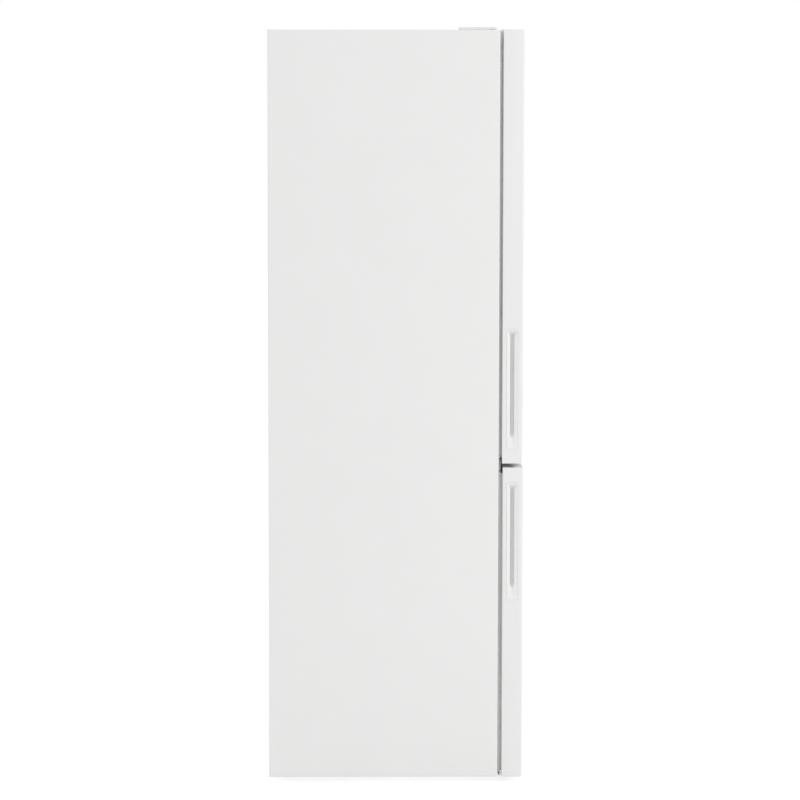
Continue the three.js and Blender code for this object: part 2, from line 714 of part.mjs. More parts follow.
function bottomHinge() {
  const z = [bottom - SEAT_GAP - HINGE_PLATE, bottom - SEAT_GAP];
  return join(
    block(hingePlateX, [front, front + HINGE_PLATE_LENGTH], z),
    tongue(z, front + STEEL),
    pin([z[0], lowerDoor.bottom + PIN_REACH]),
  );
}

// ---------------------------------------------------------------- doors

// Each door is drawn with y = 0 on its back and z = 0 at its bottom.
const pinPlace = (door) => [hingeX, hingeY - (front - door.gap)];
const doorHollow = (door, rear) => [sheetInset - door.thickness, rear];

function tongueNotch(door) {
  const x = [hingeX - TONGUE_HALF_WIDTH - TONGUE_SIDE_CLEARANCE, halfWidth + CUT_PAST];
  const floor = door.height - HINGE_PLATE - TONGUE_NOTCH_CLEARANCE;
  return block(x, grown([-door.thickness, 0], CUT_PAST), [floor, door.height + CUT_PAST]);
}

function gripRecess(door) {
  const y = [-door.thickness + GRIP_FRONT_MARGIN, -door.thickness + GRIP_FRONT_MARGIN + GRIP_WIDTH];
  return { y, z: door.grip, side: -halfWidth };
}

function doorSkin(door) {
  const z = [0, door.height];
  const cutZ = grown(z, CUT_PAST);
  const radii = [DOOR_EDGE_RADIUS, DOOR_EDGE_RADIUS, DOOR_REAR_RADIUS, DOOR_REAR_RADIUS];
  const innerRadii = radii.map((radius) => Math.max(0, radius - STEEL));
  const sideView = rectangle([-door.thickness, 0], z, [PANEL_CORNER_RADIUS, 0, 0, PANEL_CORNER_RADIUS]);
  const recess = gripRecess(door);
  const sheet = cut(
    prism("z", rectangle(across(halfWidth), [-door.thickness, 0], radii), z),
    prism("z", rectangle(across(halfWidth - STEEL), [-door.thickness + STEEL, -STEEL], innerRadii), cutZ),
    block(across(halfWidth - DOOR_RETURN), [-2 * STEEL, CUT_PAST], cutZ),
    prism("x", rectangle(recess.y, recess.z, GRIP_CORNER_RADIUS), around(recess.side, 4 * STEEL)),
  ).intersect(prism("x", sideView, grown(across(halfWidth), CUT_PAST)));
  return door.notched ? cut(sheet, tongueNotch(door)) : sheet;
}

// One end cap closes the skin, holds the hinge's bush and carries the gasket's end on its rear flange.
function doorCap(door, atTop) {
  const end = atTop ? door.height : 0;
  const inward = atTop ? -1 : 1;
  const radii = [DOOR_EDGE_RADIUS - STEEL, DOOR_EDGE_RADIUS - STEEL, 0, 0];
  const plan = rectangle(across(betweenSides), doorHollow(door, -sheetInset), radii);
  const flangeZ = span(end, end + inward * (GASKET_INSET + GASKET_WIDTH));
  const bossZ = span(end, end + inward * (HINGE_PLATE + PIN_REACH + PIN_BOSS_FLOOR));
  const boreZ = span(end - inward * CUT_PAST, end + inward * (HINGE_PLATE + PIN_REACH + SEAT_GAP));
  const cap = cut(
    join(
      prism("z", plan, span(end, end + inward * CAP_HEIGHT)),
      block(across(halfWidth - DOOR_RETURN - SEAT_GAP), [-LINER, 0], flangeZ),
      rod("z", pinPlace(door), PIN_BOSS_RADIUS, bossZ),
    ),
    rod("z", pinPlace(door), PIN_RADIUS + RUNNING_GAP, boreZ),
  );
  return atTop && door.notched ? cut(cap, tongueNotch(door)) : cap;
}

function frameRing(x, z, width, y) {
  return cut(block(x, y, z), block(grown(x, -width), grown(y, CUT_PAST), grown(z, -width)));
}

const dykeHeight = grown(
  [fridgeFloor - upperDoor.bottom, fridgeCeiling - upperDoor.bottom],
  -DYKE_END_CLEARANCE,
);

// The raised frame of the upper door's liner, shrunk by an offset for its hollow and its foam.
function dyke(offset, from) {
  const x = grown(across(fridgeHalf - DYKE_SIDE_CLEARANCE), -offset);
  return frameRing(x, grown(dykeHeight, -offset), DYKE_WIDTH - 2 * offset, [from, DYKE_REACH - offset]);
}

const linerInset = GASKET_INSET + GASKET_WIDTH + SEAT_GAP;
const linerPlate = (door) =>
  block(across(halfWidth - linerInset), [-LINER, 0], [linerInset, door.height - linerInset]);
const binHalfWidth = fridgeHalf - DYKE_SIDE_CLEARANCE - DYKE_WIDTH - SEAT_GAP;
const binSpace = grown(dykeHeight, -DYKE_WIDTH);
const binNames = ["door_bin_lower", "door_bin_middle", "door_bin_upper"];
const binSpacing = (binSpace[1] - binSpace[0]) / binNames.length;
const binFloors = binNames.map((_, i) => binSpace[0] + BIN_CLEARANCE + i * binSpacing);

function upperDoorLiner() {
  const [width, depth, height] = BIN_LEDGE;
  const ledges = binFloors.flatMap((floor) =>
    [-1, 1].map((side) =>
      block(
        span(side * (binHalfWidth + 2 * SEAT_GAP), side * (binHalfWidth - width)),
        [-LINER / 2, depth],
        [floor - SEAT_GAP - height, floor - SEAT_GAP],
      ),
    ),
  );
  return join(cut(join(linerPlate(upperDoor), dyke(0, -LINER)), dyke(LINER, -LINER - CUT_PAST)), ...ledges);
}

function lowerDoorLiner() {
  const z = grown([freezerFloor - lowerDoor.bottom, freezerCeiling - lowerDoor.bottom], -PLUG_CLEARANCE);
  const outline = rectangle(across(freezerHalf - PLUG_CLEARANCE), z, LINER_CORNER_RADIUS);
  return join(linerPlate(lowerDoor), prism("y", outline, [-LINER, PLUG_REACH]));
}

// The cup behind the hole in the skin: a sloping tray and, in its middle, a deep slot for the fingers.
function gripCup(door) {
  const { y, z, side } = gripRecess(door);
  const inside = side + sheetInset;
  const floor = side + GRIP_SLOT_DEPTH;
  const collar = rectangle(grown(y, -SEAT_GAP), grown(z, -SEAT_GAP), GRIP_CORNER_RADIUS - SEAT_GAP);
  const lap = GRIP_WALL - SEAT_GAP;
  const body = rectangle(grown(y, lap), grown(z, lap), GRIP_CORNER_RADIUS + GRIP_WALL);
  const spread = (GRIP_WIDTH - GRIP_SLOT_WIDE) / 2 - GRIP_LIP;
  const trayFloor = rectangle(
    grown(y, -GRIP_LIP - spread),
    grown(z, -GRIP_LIP - spread),
    GRIP_CORNER_RADIUS - GRIP_LIP - spread,
  );
  const slotZ = grown(z, -GRIP_SLOT_END_MARGIN);
  const middle = middleOf(y);
  const slot = polygon([
    [middle - GRIP_SLOT_NARROW / 2, slotZ[0]],
    [middle + GRIP_SLOT_NARROW / 2, slotZ[0]],
    [middle + GRIP_SLOT_WIDE / 2, slotZ[1]],
    [middle - GRIP_SLOT_WIDE / 2, slotZ[1]],
  ]);
  const ramp = polygon([
    [floor + CUT_PAST, slotZ[0] - CUT_PAST],
    [floor + CUT_PAST, slotZ[0] + GRIP_RAMP],
    [floor, slotZ[0] + GRIP_RAMP],
    [side + GRIP_TRAY_DEPTH, slotZ[0]],
    [side + GRIP_TRAY_DEPTH, slotZ[0] - CUT_PAST],
  ]);
  return cut(
    join(prism("x", collar, [side, inside + GRIP_WALL]), prism("x", body, [inside, floor + GRIP_WALL])),
    wideningAlongX(trayFloor, side, side + GRIP_TRAY_DEPTH, spread),
    cut(prism("x", slot, [side, floor]), prism("y", ramp, grown(y, CUT_PAST))),
  );
}

function doorFoam(door) {
  const radii = [DOOR_EDGE_RADIUS - STEEL, DOOR_EDGE_RADIUS - STEEL, 0, 0];
  const plan = rectangle(across(betweenSides), doorHollow(door, -LINER - SEAT_GAP), radii);
  const capDepth = CAP_HEIGHT + SEAT_GAP;
  const { y, z, side } = gripRecess(door);
  const bossReach = HINGE_PLATE + PIN_REACH + PIN_BOSS_FLOOR + SEAT_GAP;
  const bossWells = [
    [0, bossReach],
    [door.height - bossReach, door.height],
  ].map((wellZ) => rod("z", pinPlace(door), PIN_BOSS_RADIUS + SEAT_GAP, wellZ));
  const foam = cut(
    prism("z", plan, [capDepth, door.height - capDepth]),
    block([side, side + GRIP_SLOT_DEPTH + GRIP_WALL + SEAT_GAP], grown(y, GRIP_WALL), grown(z, GRIP_WALL)),
    ...bossWells,
  );
  return door === upperDoor ? join(foam, dyke(LINER + SEAT_GAP, -LINER - 2 * SEAT_GAP)) : foam;
}

// Three stacked rings: the foot on the door, a narrower neck and the magnet strip on the cabinet.
function doorGasket(door) {
  const ring = (inset, width, y) =>
    frameRing(across(halfWidth - inset), [inset, door.height - inset], width, y);
  const [low, high] = [SEAT_GAP, door.gap - SEAT_GAP];
  const foot = GASKET_FOOT_SHARE * door.gap;
  return join(
    ring(GASKET_INSET, GASKET_WIDTH, [low, low + foot]),
    ring(GASKET_INSET + GASKET_NECK_INSET, GASKET_WIDTH - 2 * GASKET_NECK_INSET, [low, high]),
    ring(GASKET_INSET, GASKET_WIDTH, [high - foot, high]),
  );
}

function doorGroup(door, liner) {
  const group = new THREE.Group();
  group.position.set(0, front - door.gap, door.bottom);
  add(group, `${door.name}_skin`, doorSkin(door), WHITE_PAINT);
  add(group, `${door.name}_foam`, doorFoam(door), FOAM);
  add(group, `${door.name}_liner`, liner, WHITE_PLASTIC);
  add(group, `${door.name}_cap_top`, doorCap(door, true), WHITE_PLASTIC);
  add(group, `${door.name}_cap_bottom`, doorCap(door, false), WHITE_PLASTIC);
  add(group, `${door.name}_gasket`, doorGasket(door), GASKET_RUBBER);
  add(group, `${door.name}_grip`, gripCup(door), WHITE_PLASTIC);
  return group;
}

function upperDoorGroup() {
  const group = doorGroup(upperDoor, upperDoorLiner());
  const y = [SEAT_GAP, BIN_REACH];
  const bin = tray(across(binHalfWidth), y, [0, BIN_HEIGHT], DRAWER_WALL, BIN_CORNER_RADIUS);
  binNames.forEach((name, i) => {
    add(group, name, bin, CLEAR_PLASTIC).position.z = binFloors[i];
  });
  return group;
}

// ---------------------------------------------------------------- drawers and shelves

// A tub with a low front edge in its middle, where the hand goes in.
function drawer(half, y, height) {
  const tub = tray(across(half), y, [0, height], DRAWER_WALL, DRAWER_CORNER_RADIUS);
  const pull = rectangle(across(PULL_HALF_WIDTH), [height - PULL_HEIGHT, height + PULL_EDGE], PULL_EDGE);
  return cut(tub, prism("y", pull, around(y[0], 4 * DRAWER_WALL)));
}

function addDrawers(group) {
  freezerDrawers.forEach(({ place, back: end, z }) => {
    const height = z[1] - z[0] - FREEZER_DRAWER_TOP_CLEARANCE;
    const solid = drawer(drawerHalf, [drawerFront, end], height);
    add(group, `freezer_drawer_${place}`, solid, CLEAR_PLASTIC).position.z = z[0];
  });
  const crisperHeight = CRISPER_LID_LIFT - SHELF - CRISPER_LID_CLEARANCE;
  const crisper = drawer(fridgeHalf - CRISPER_SIDE_CLEARANCE, [crisperFront, shelfBack], crisperHeight);
  add(group, "crisper_drawer", crisper, CLEAR_PLASTIC).position.z = fridgeFloor + SEAT_GAP;
}

function addShelves(group) {
  const x = across(fridgeHalf - SHELF_SIDE_CLEARANCE);
  const plate = block(x, [shelfFront, shelfBack], [-SHELF, 0]);
  shelfNames.forEach((name, i) => {
    add(group, name, plate, GLASS).position.z = shelfHeights[i];
  });
  add(group, "crisper_lid", plate, GLASS).position.z = crisperLidHeight;
}

// ---------------------------------------------------------------- air path and controls

const damperHeight = crisperLidHeight + DAMPER_RISE;

function fridgeAirDuct() {
  const x = across(AIR_DUCT_HALF_WIDTH);
  const y = [fridgeBack - AIR_DUCT_DEPTH, fridgeBack - SEAT_GAP];
  const z = [fridgeFloor + AIR_DUCT_LIFT, fridgeCeiling - AIR_DUCT_DROP];
  const frontWall = grown([y[0], y[0] + AIR_DUCT_WALL], CUT_PAST / 2);
  const outlets = [crisperLidHeight, ...shelfHeights]
    .flatMap((shelf) => AIR_OUTLET_RISES.map((rise) => shelf + rise))
    .map((height) => block(around(0, AIR_OUTLET[0]), frontWall, around(height, AIR_OUTLET[1])));
  const slot = block(around(0, DAMPER_SLOT[0]), frontWall, around(damperHeight, DAMPER_SLOT[1]));
  return cut(
    block(x, y, z),
    block(grown(x, -AIR_DUCT_WALL), [y[0] + AIR_DUCT_WALL, y[1] + CUT_PAST], grown(z, -AIR_DUCT_WALL)),
    slot,
    ...outlets,
  );
}

// It slides in its slot across the duct: a knob in front, a neck and a plate behind.
function damperSlider() {
  const [width, depth, height] = DAMPER_KNOB;
  const wall = [-SEAT_GAP, AIR_DUCT_WALL + SEAT_GAP];
  const plate = [wall[1], wall[1] + AIR_DUCT_WALL];
  return join(
    block(around(0, width), [wall[0] - depth, wall[0]], around(0, height)),
    block(around(0, width), [wall[0] - SEAT_GAP, plate[1]], around(0, DAMPER_SLOT[1] - 2 * SEAT_GAP)),
    block(around(0, width), plate, around(0, DAMPER_SLOT[1] + 2 * DAMPER_FLANGE)),
  );
}

const housingY = [shelfFront, shelfFront + HOUSING_LENGTH];
const lensY = around(middleOf(housingY), LENS_LENGTH);
const knobHeight = housingBottom + HOUSING_HEIGHT / 2;

function controlHousing() {
  const z = [housingBottom, fridgeCeiling - SEAT_GAP];
  const lensX = around(LENS_X, 2 * LENS_HALF_WIDTH);
  return cut(
    prism("z", rectangle(across(HOUSING_HALF_WIDTH), housingY, HOUSING_CORNER_RADIUS), z),
    block(grown(lensX, SEAT_GAP), grown(lensY, SEAT_GAP), [z[0] - CUT_PAST, z[0] + LENS_DEPTH + SEAT_GAP]),
    rod(
      "y",
      [KNOB_X, knobHeight],
      KNOB_SHAFT_RADIUS + RUNNING_GAP,
      [housingY[0] - CUT_PAST, housingY[0] + KNOB_SHAFT_LENGTH + SEAT_GAP],
    ),
  );
}

function lampLens() {
  const x = around(LENS_X, 2 * LENS_HALF_WIDTH);
  const z = [housingBottom - LENS_DEPTH / 2, housingBottom + LENS_DEPTH];
  return prism("z", rectangle(x, lensY, 0), z);
}

// Turns on the housing's front; a raised bar across it is the finger grip.
function controlKnob() {
  const [width, reach, length] = KNOB_GRIP;
  return join(
    rod("y", [0, 0], KNOB_RADIUS, [-KNOB_DEPTH, -SEAT_GAP], 32),
    rod("y", [0, 0], KNOB_SHAFT_RADIUS, [-KNOB_DEPTH / 2, KNOB_SHAFT_LENGTH]),
    block(around(0, width), [-KNOB_DEPTH - reach, -KNOB_DEPTH / 2], around(0, length)),
  );
}

function freezerDuctPanel() {
  const y = [ductPanelFront, ductPanelFront + DUCT_PANEL];
  const radii = [0, 0, LINER_CORNER_RADIUS, LINER_CORNER_RADIUS];
  const z = [stepTop + SEAT_GAP, freezerCeiling - SEAT_GAP];
  const outline = rectangle(across(freezerHalf - SEAT_GAP), z, radii);
  const outlets = OUTLET_DROPS.map((drop) =>
    block(around(0, OUTLET_SLOT[0]), grown(y, CUT_PAST), around(freezerCeiling - drop, OUTLET_SLOT[1])),
  );
  return cut(
    prism("y", outline, y),
    rod("y", [0, fanHeight], FAN_OPENING_RADIUS, grown(y, CUT_PAST), 32),
    ...outlets,
  );
}

function fanMotor() {
  const [width, depth, height] = MOTOR_PLATE;
  const rear = freezerBack - SEAT_GAP;
  const bodyFront = ductPanelFront + DUCT_PANEL + IMPELLER_DEPTH + MOTOR_CLEARANCE;
  return join(
    rod("y", [0, fanHeight], MOTOR_RADIUS, [bodyFront, rear]),
    block(around(0, width), [rear - depth, rear], around(fanHeight, height)),
    rod("y", [0, fanHeight], SHAFT_RADIUS, [ductPanelFront + DUCT_PANEL, rear], 16),
  );
}

function fanImpeller() {
  const hub = rod("y", [0, 0], IMPELLER_HUB_RADIUS, around(0, IMPELLER_DEPTH));
  const blades = Array.from({ length: BLADE_COUNT }, (_, i) => {
    const length = IMPELLER_RADIUS - IMPELLER_HUB_RADIUS / 2;
    const blade = new THREE.BoxGeometry(length, BLADE_THICKNESS, IMPELLER_DEPTH);
    blade.rotateX(THREE.MathUtils.degToRad(BLADE_PITCH));
    blade.translate(IMPELLER_RADIUS - length / 2, 0, 0);
    blade.rotateX(Math.PI / 2);
    blade.rotateY((i * 2 * Math.PI) / BLADE_COUNT);
    return toSolid(blade);
  });
  const bore = rod("y", [0, 0], SHAFT_RADIUS + SEAT_GAP, around(0, IMPELLER_DEPTH + CUT_PAST), 16);
  return cut(join(hub, ...blades), bore);
}

function evaporator() {
  const width = 2 * (freezerHalf - EVAPORATOR_SIDE_MARGIN);
  const z = [stepTop + EVAPORATOR_FLOOR_MARGIN, stepTop + EVAPORATOR_FLOOR_MARGIN + EVAPORATOR_HEIGHT];
  const y = [freezerBack - SEAT_GAP - EVAPORATOR_DEPTH, freezerBack - SEAT_GAP];
  const pitch = width / (FIN_GROOVES + 1);
  const grooves = Array.from({ length: FIN_GROOVES }, (_, i) =>
    block(
      around(-width / 2 + (i + 1) * pitch, FIN_GROOVE[0]),
      [y[0] - CUT_PAST, y[0] + FIN_GROOVE[1]],
      grown(z, CUT_PAST),
    ),
  );
  const plateZ = [stepTop + SEAT_GAP, z[1] + END_PLATE];
  const endPlates = [-1, 1].map((side) =>
    block(around((side * width) / 2, END_PLATE), [y[0] - END_PLATE, y[1]], plateZ),
  );
  return join(cut(block(around(0, width), y, z), ...grooves), ...endPlates);
}

// ---------------------------------------------------------------- machine room and supports

const rollerY = back - ROLLER_SETBACK;
const rollerX = (side) => side * (halfWidth - ROLLER_INSET);
const bracketOffset = ROLLER_WIDTH / 2 + ROLLER_SPACE;

function compressorBase() {
  const x = across(betweenSides);
  const y = [machineFront + SEAT_GAP, clearOfRearFold];
  const z = [BASE_PAN_HEIGHT, BASE_PAN_HEIGHT + BASE_PAN];
  const pan = join(
    block(x, y, z),
    block(x, [y[0], y[0] + BASE_PAN], [z[0], z[1] + BASE_PAN_LIP]),
    block(x, [y[1] - BASE_PAN, y[1]], [z[0], z[1] + BASE_PAN_LIP]),
  );
  const cutouts = [-1, 1].map((side) =>
    block(
      around(rollerX(side), ROLLER_WIDTH + 2 * ROLLER_SPACE),
      around(rollerY, 2 * (ROLLER_RADIUS + ROLLER_SPACE)),
      grown(z, CUT_PAST),
    ),
  );
  const brackets = [-1, 1].flatMap((side) =>
    [-1, 1].map((end) => {
      const inner = rollerX(side) + end * bracketOffset;
      return cut(
        block(
          span(inner, inner + end * BRACKET),
          around(rollerY, BRACKET_WIDTH),
          [ROLLER_RADIUS - BRACKET_BELOW_AXLE, z[1]],
        ),
        rod("x", [rollerY, ROLLER_RADIUS], AXLE_RADIUS + SEAT_GAP, around(inner, 4 * BRACKET), 16),
      );
    }),
  );
  return join(cut(pan, ...cutouts), ...brackets);
}

function rollerAxle() {
  const reach = bracketOffset + BRACKET + SEAT_GAP;
  const heads = [-1, 1].map((end) =>
    rod("x", [0, 0], AXLE_HEAD_RADIUS, span(end * reach, end * (reach + BRACKET)), 16),
  );
  return join(rod("x", [0, 0], AXLE_RADIUS, across(reach + BRACKET), 16), ...heads);
}

function roller() {
  return cut(
    rod("x", [0, 0], ROLLER_RADIUS, around(0, ROLLER_WIDTH), 32),
    rod("x", [0, 0], AXLE_RADIUS + RUNNING_GAP, around(0, ROLLER_WIDTH + CUT_PAST), 16),
  );
}

function foot() {
  return turned([
    [0, 0],
    [FOOT_RADIUS - FOOT_EDGE, 0],
    [FOOT_RADIUS, FOOT_EDGE],
    [FOOT_RADIUS, FOOT_PAD - FOOT_EDGE],
    [FOOT_RADIUS - FOOT_EDGE, FOOT_PAD],
    [STEM_RADIUS, FOOT_PAD],
    [STEM_RADIUS, FOOT_PAD + STEM_LENGTH],
    [0, FOOT_PAD + STEM_LENGTH],
  ]);
}

const compressorPlace = [COMPRESSOR_X, middleOf([machineFront, back])];
const compressorFloor = BASE_PAN_HEIGHT + BASE_PAN + SEAT_GAP;
const compressorBody = compressorFloor + GROMMET_HEIGHT + COMPRESSOR_FOOT_PLATE[2];
const stubHeight = COMPRESSOR_HEIGHT - STUB_DROP;

function compressor() {
  const radius = COMPRESSOR_RADIUS;
  const seam = COMPRESSOR_HEIGHT / 2;
  const shell = turned([
    [0, 0],
    [radius - COMPRESSOR_BOTTOM_ROUND, 0],
    [radius - COMPRESSOR_BOTTOM_ROUND * ARC_MIDDLE, COMPRESSOR_BOTTOM_ROUND * ARC_MIDDLE],
    [radius, COMPRESSOR_BOTTOM_ROUND],
    [radius, seam],
    [radius + COMPRESSOR_SEAM_WIDTH, seam],
    [radius + COMPRESSOR_SEAM_WIDTH, seam + COMPRESSOR_SEAM_WIDTH],
    [radius, seam + COMPRESSOR_SEAM_WIDTH],
    [radius, COMPRESSOR_HEIGHT - COMPRESSOR_TOP_ROUND],
    [radius - COMPRESSOR_TOP_ROUND * ARC_MIDDLE, COMPRESSOR_HEIGHT - COMPRESSOR_TOP_ROUND * ARC_MIDDLE],
    [radius - COMPRESSOR_TOP_ROUND, COMPRESSOR_HEIGHT],
    [0, COMPRESSOR_HEIGHT],
  ]);
  const [width, depth, thickness] = COMPRESSOR_FOOT_PLATE;
  const plate = block(around(0, width), around(0, depth), [-thickness, COMPRESSOR_SEAM_WIDTH]);
  const grommets = [-1, 1].flatMap((sideX) =>
    [-1, 1].map((sideY) =>
      rod(
        "z",
        [sideX * (width / 2 - GROMMET_RADIUS), sideY * (depth / 2 - GROMMET_RADIUS)],
        GROMMET_RADIUS,
        [-thickness - GROMMET_HEIGHT, 0],
        16,
      ),
    ),
  );
  const stub = rod("x", [0, stubHeight], STUB_RADIUS, [-radius - STUB_LENGTH, 0], 16);
  return join(shell, plate, ...grommets, stub);
}

// The copper pipe leaves the compressor's stub, bends up and meets the machine room's ceiling.
function dischargePipe() {
  const start = -COMPRESSOR_RADIUS - STUB_LENGTH - SEAT_GAP;
  const corner = start - 2 * PIPE_BEND;
  const end = machineTop - compressorBody - SEAT_GAP;
  const path = new THREE.CurvePath();
  const bendStart = new THREE.Vector3(corner + PIPE_BEND, 0, stubHeight);
  const bendEnd = new THREE.Vector3(corner, 0, stubHeight + PIPE_BEND);
  path.add(new THREE.LineCurve3(new THREE.Vector3(start, 0, stubHeight), bendStart));
  path.add(new THREE.QuadraticBezierCurve3(bendStart, new THREE.Vector3(corner, 0, stubHeight), bendEnd));
  path.add(new THREE.LineCurve3(bendEnd, new THREE.Vector3(corner, 0, end)));
  const section = new THREE.Shape();
  section.absarc(0, 0, PIPE_RADIUS, 0, 2 * Math.PI);
  return toSolid(new THREE.ExtrudeGeometry(section, { steps: 16, extrudePath: path, curveSegments: 5 }));
}

function relayBox() {
  const [width, depth, height] = RELAY_BOX;
  const start = COMPRESSOR_RADIUS + COMPRESSOR_SEAM_WIDTH + SEAT_GAP;
  const outline = rectangle([start, start + width], around(0, depth), COMPRESSOR_SEAM_WIDTH);
  return prism("z", outline, around(COMPRESSOR_HEIGHT / 2, height));
}

function dripTray() {
  const [width, depth, height] = DRIP_TRAY;
  return tray(around(0, width), around(0, depth), [0, height], TRAY_WALL, DRAWER_CORNER_RADIUS);
}

function rearCover() {
  const z = [BASE_PAN_HEIGHT, machineTop - BACK_PANEL_LAP - SEAT_GAP];
  const y = [back - STEEL, back];
  const middle = middleOf(z);
  const slots = [];
  for (let row = 0; row < VENT_ROWS; row += 1) {
    for (let column = 0; column < VENT_COLUMNS; column += 1) {
      const x = (column - (VENT_COLUMNS - 1) / 2) * VENT_COLUMN_PITCH;
      const height = middle + (row - (VENT_ROWS - 1) / 2) * VENT_ROW_PITCH;
      slots.push(block(around(x, VENT_SLOT[0]), grown(y, CUT_PAST), around(height, VENT_SLOT[1])));
    }
  }
  const gland = [halfWidth - GLAND_INSET, GLAND_HEIGHT];
  return cut(
    join(block(across(betweenRearFlanges), y, z), rod("y", gland, GLAND_RADIUS, [y[1] - GLAND_LENGTH, y[1]])),
    rod("y", gland, GLAND_BORE, grown([y[1] - GLAND_LENGTH, y[1]], CUT_PAST), 16),
    ...slots,
  );
}

// ---------------------------------------------------------------- assembly

function shellGroup() {
  const group = new THREE.Group();
  add(group, "side_panel_left", sidePanel(-1), WHITE_PAINT);
  add(group, "side_panel_right", sidePanel(1), WHITE_PAINT);
  add(group, "top_panel", topPanel(), WHITE_PAINT);
  add(group, "back_panel", backPanel(), WHITE_PAINT);
  add(group, "base_plate", basePlate(), ZINC);
  add(group, "insulation_foam", insulationFoam(), FOAM);
  add(group, "fridge_liner", fridgeLiner(), WHITE_PLASTIC);
  add(group, "freezer_liner", freezerLiner(), WHITE_PLASTIC);
  add(group, "middle_crossbeam", middleCrossbeam(), GREY_PLASTIC);
  add(group, "top_hinge", topHinge(), ZINC);
  add(group, "top_hinge_cover", topHingeCover(), WHITE_PLASTIC);
  add(group, "middle_hinge", middleHinge(), ZINC);
  add(group, "bottom_hinge", bottomHinge(), ZINC);
  return group;
}

function fittingsGroup() {
  const group = new THREE.Group();
  addShelves(group);
  addDrawers(group);
  add(group, "fridge_air_duct", fridgeAirDuct(), WHITE_PLASTIC);
  const damper = add(group, "damper_slider", damperSlider(), GREY_PLASTIC);
  damper.position.set(0, fridgeBack - AIR_DUCT_DEPTH, damperHeight);
  add(group, "control_housing", controlHousing(), WHITE_PLASTIC);
  add(group, "lamp_lens", lampLens(), CLEAR_PLASTIC);
  add(group, "control_knob", controlKnob(), GREY_PLASTIC).position.set(KNOB_X, housingY[0], knobHeight);
  add(group, "freezer_duct_panel", freezerDuctPanel(), WHITE_PLASTIC);
  add(group, "evaporator", evaporator(), ALUMINIUM);
  add(group, "fan_motor", fanMotor(), DARK_PLASTIC);
  const impellerY = ductPanelFront + DUCT_PANEL + SEAT_GAP + IMPELLER_DEPTH / 2;
  add(group, "fan_impeller", fanImpeller(), DARK_PLASTIC).position.set(0, impellerY, fanHeight);
  return group;
}

function machineGroup() {
  const group = new THREE.Group();
  add(group, "compressor_base", compressorBase(), ZINC);
  add(group, "rear_cover", rearCover(), ZINC);
  [
    ["left", -1],
    ["right", 1],
  ].forEach(([name, side]) => {
    add(group, `roller_${name}`, roller(), DARK_PLASTIC).position.set(rollerX(side), rollerY, ROLLER_RADIUS);
    add(group, `roller_axle_${name}`, rollerAxle(), ZINC).position.set(rollerX(side), rollerY, ROLLER_RADIUS);
    add(group, `foot_${name}`, foot(), DARK_PLASTIC).position.set(...footPlace(side), 0);
  });
  const unit = new THREE.Group();
  unit.position.set(...compressorPlace, compressorBody);
  add(unit, "compressor", compressor(), BLACK_PAINT);
  add(unit, "relay_box", relayBox(), DARK_PLASTIC);
  add(unit, "discharge_pipe", dischargePipe(), COPPER);
  add(unit, "drip_tray", dripTray(), DARK_PLASTIC).position.z = COMPRESSOR_HEIGHT + SEAT_GAP;
  group.add(unit);
  return group;
}

const refrigerator = new THREE.Group();
refrigerator.add(
  shellGroup(),
  fittingsGroup(),
  machineGroup(),
  upperDoorGroup(),
  doorGroup(lowerDoor, lowerDoorLiner()),
);

export default refrigerator;
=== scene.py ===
import json
import math

import bmesh
import bpy
from mathutils import Matrix, Vector


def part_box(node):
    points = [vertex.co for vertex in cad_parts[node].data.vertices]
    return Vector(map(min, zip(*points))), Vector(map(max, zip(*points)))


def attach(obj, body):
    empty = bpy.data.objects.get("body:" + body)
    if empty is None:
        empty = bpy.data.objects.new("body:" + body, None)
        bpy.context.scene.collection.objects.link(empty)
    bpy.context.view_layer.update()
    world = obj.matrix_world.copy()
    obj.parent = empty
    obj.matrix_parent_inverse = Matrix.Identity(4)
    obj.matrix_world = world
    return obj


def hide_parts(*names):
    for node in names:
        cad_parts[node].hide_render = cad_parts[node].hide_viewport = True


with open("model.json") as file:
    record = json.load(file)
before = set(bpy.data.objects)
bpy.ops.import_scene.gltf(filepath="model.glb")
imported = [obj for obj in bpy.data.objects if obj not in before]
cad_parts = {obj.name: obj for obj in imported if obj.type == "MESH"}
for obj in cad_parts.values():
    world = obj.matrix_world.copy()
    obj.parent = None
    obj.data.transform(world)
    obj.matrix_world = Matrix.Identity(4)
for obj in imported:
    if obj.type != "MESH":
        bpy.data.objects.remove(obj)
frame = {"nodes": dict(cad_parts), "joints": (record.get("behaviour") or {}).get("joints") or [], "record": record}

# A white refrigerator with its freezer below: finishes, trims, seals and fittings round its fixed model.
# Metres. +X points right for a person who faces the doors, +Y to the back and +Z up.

UNWANTED = ("Cube", "Camera", "Light")
for unwanted in UNWANTED:
    if unwanted in bpy.data.objects:
        bpy.data.objects.remove(bpy.data.objects[unwanted])
bpy.context.view_layer.update()

nodes = frame["nodes"]
BODY_OF = {node: body for body, members in frame["record"]["behaviour"]["bodies"].items() for node in members}
MM = 0.001

# ---- camera, light and background

CAMERA_PLACE = Vector((-8.6527, 0.1291, 1.7733))
CAMERA_DIRECTION = Vector((0.995032, -0.016539, -0.098172))
CAMERA_ROLL = 0.00155
SENSOR_WIDTH = 36.0
CAMERA_LENS = 154.76

AMBIENT = 0.905
BACKGROUND_WHITE = 1.0
FLOOR_COLOUR = (0.86, 0.86, 0.86)
SEEN_FLOOR_COLOUR = (0.42, 0.42, 0.42)
SEEN_FLOOR_GLOW = 0.78
FLOOR_SIZE = 40.0
WHITE = (1, 1, 1, 1)
LAMP_SIZE = 3.0
LAMP_TARGET = Vector((0, 0, 1.0))
LAMPS = {"key": ((-3.2, -6.0, 4.2), 110), "rim": ((4.4, 4.0, 3.4), 50)}  # place, and power in watts


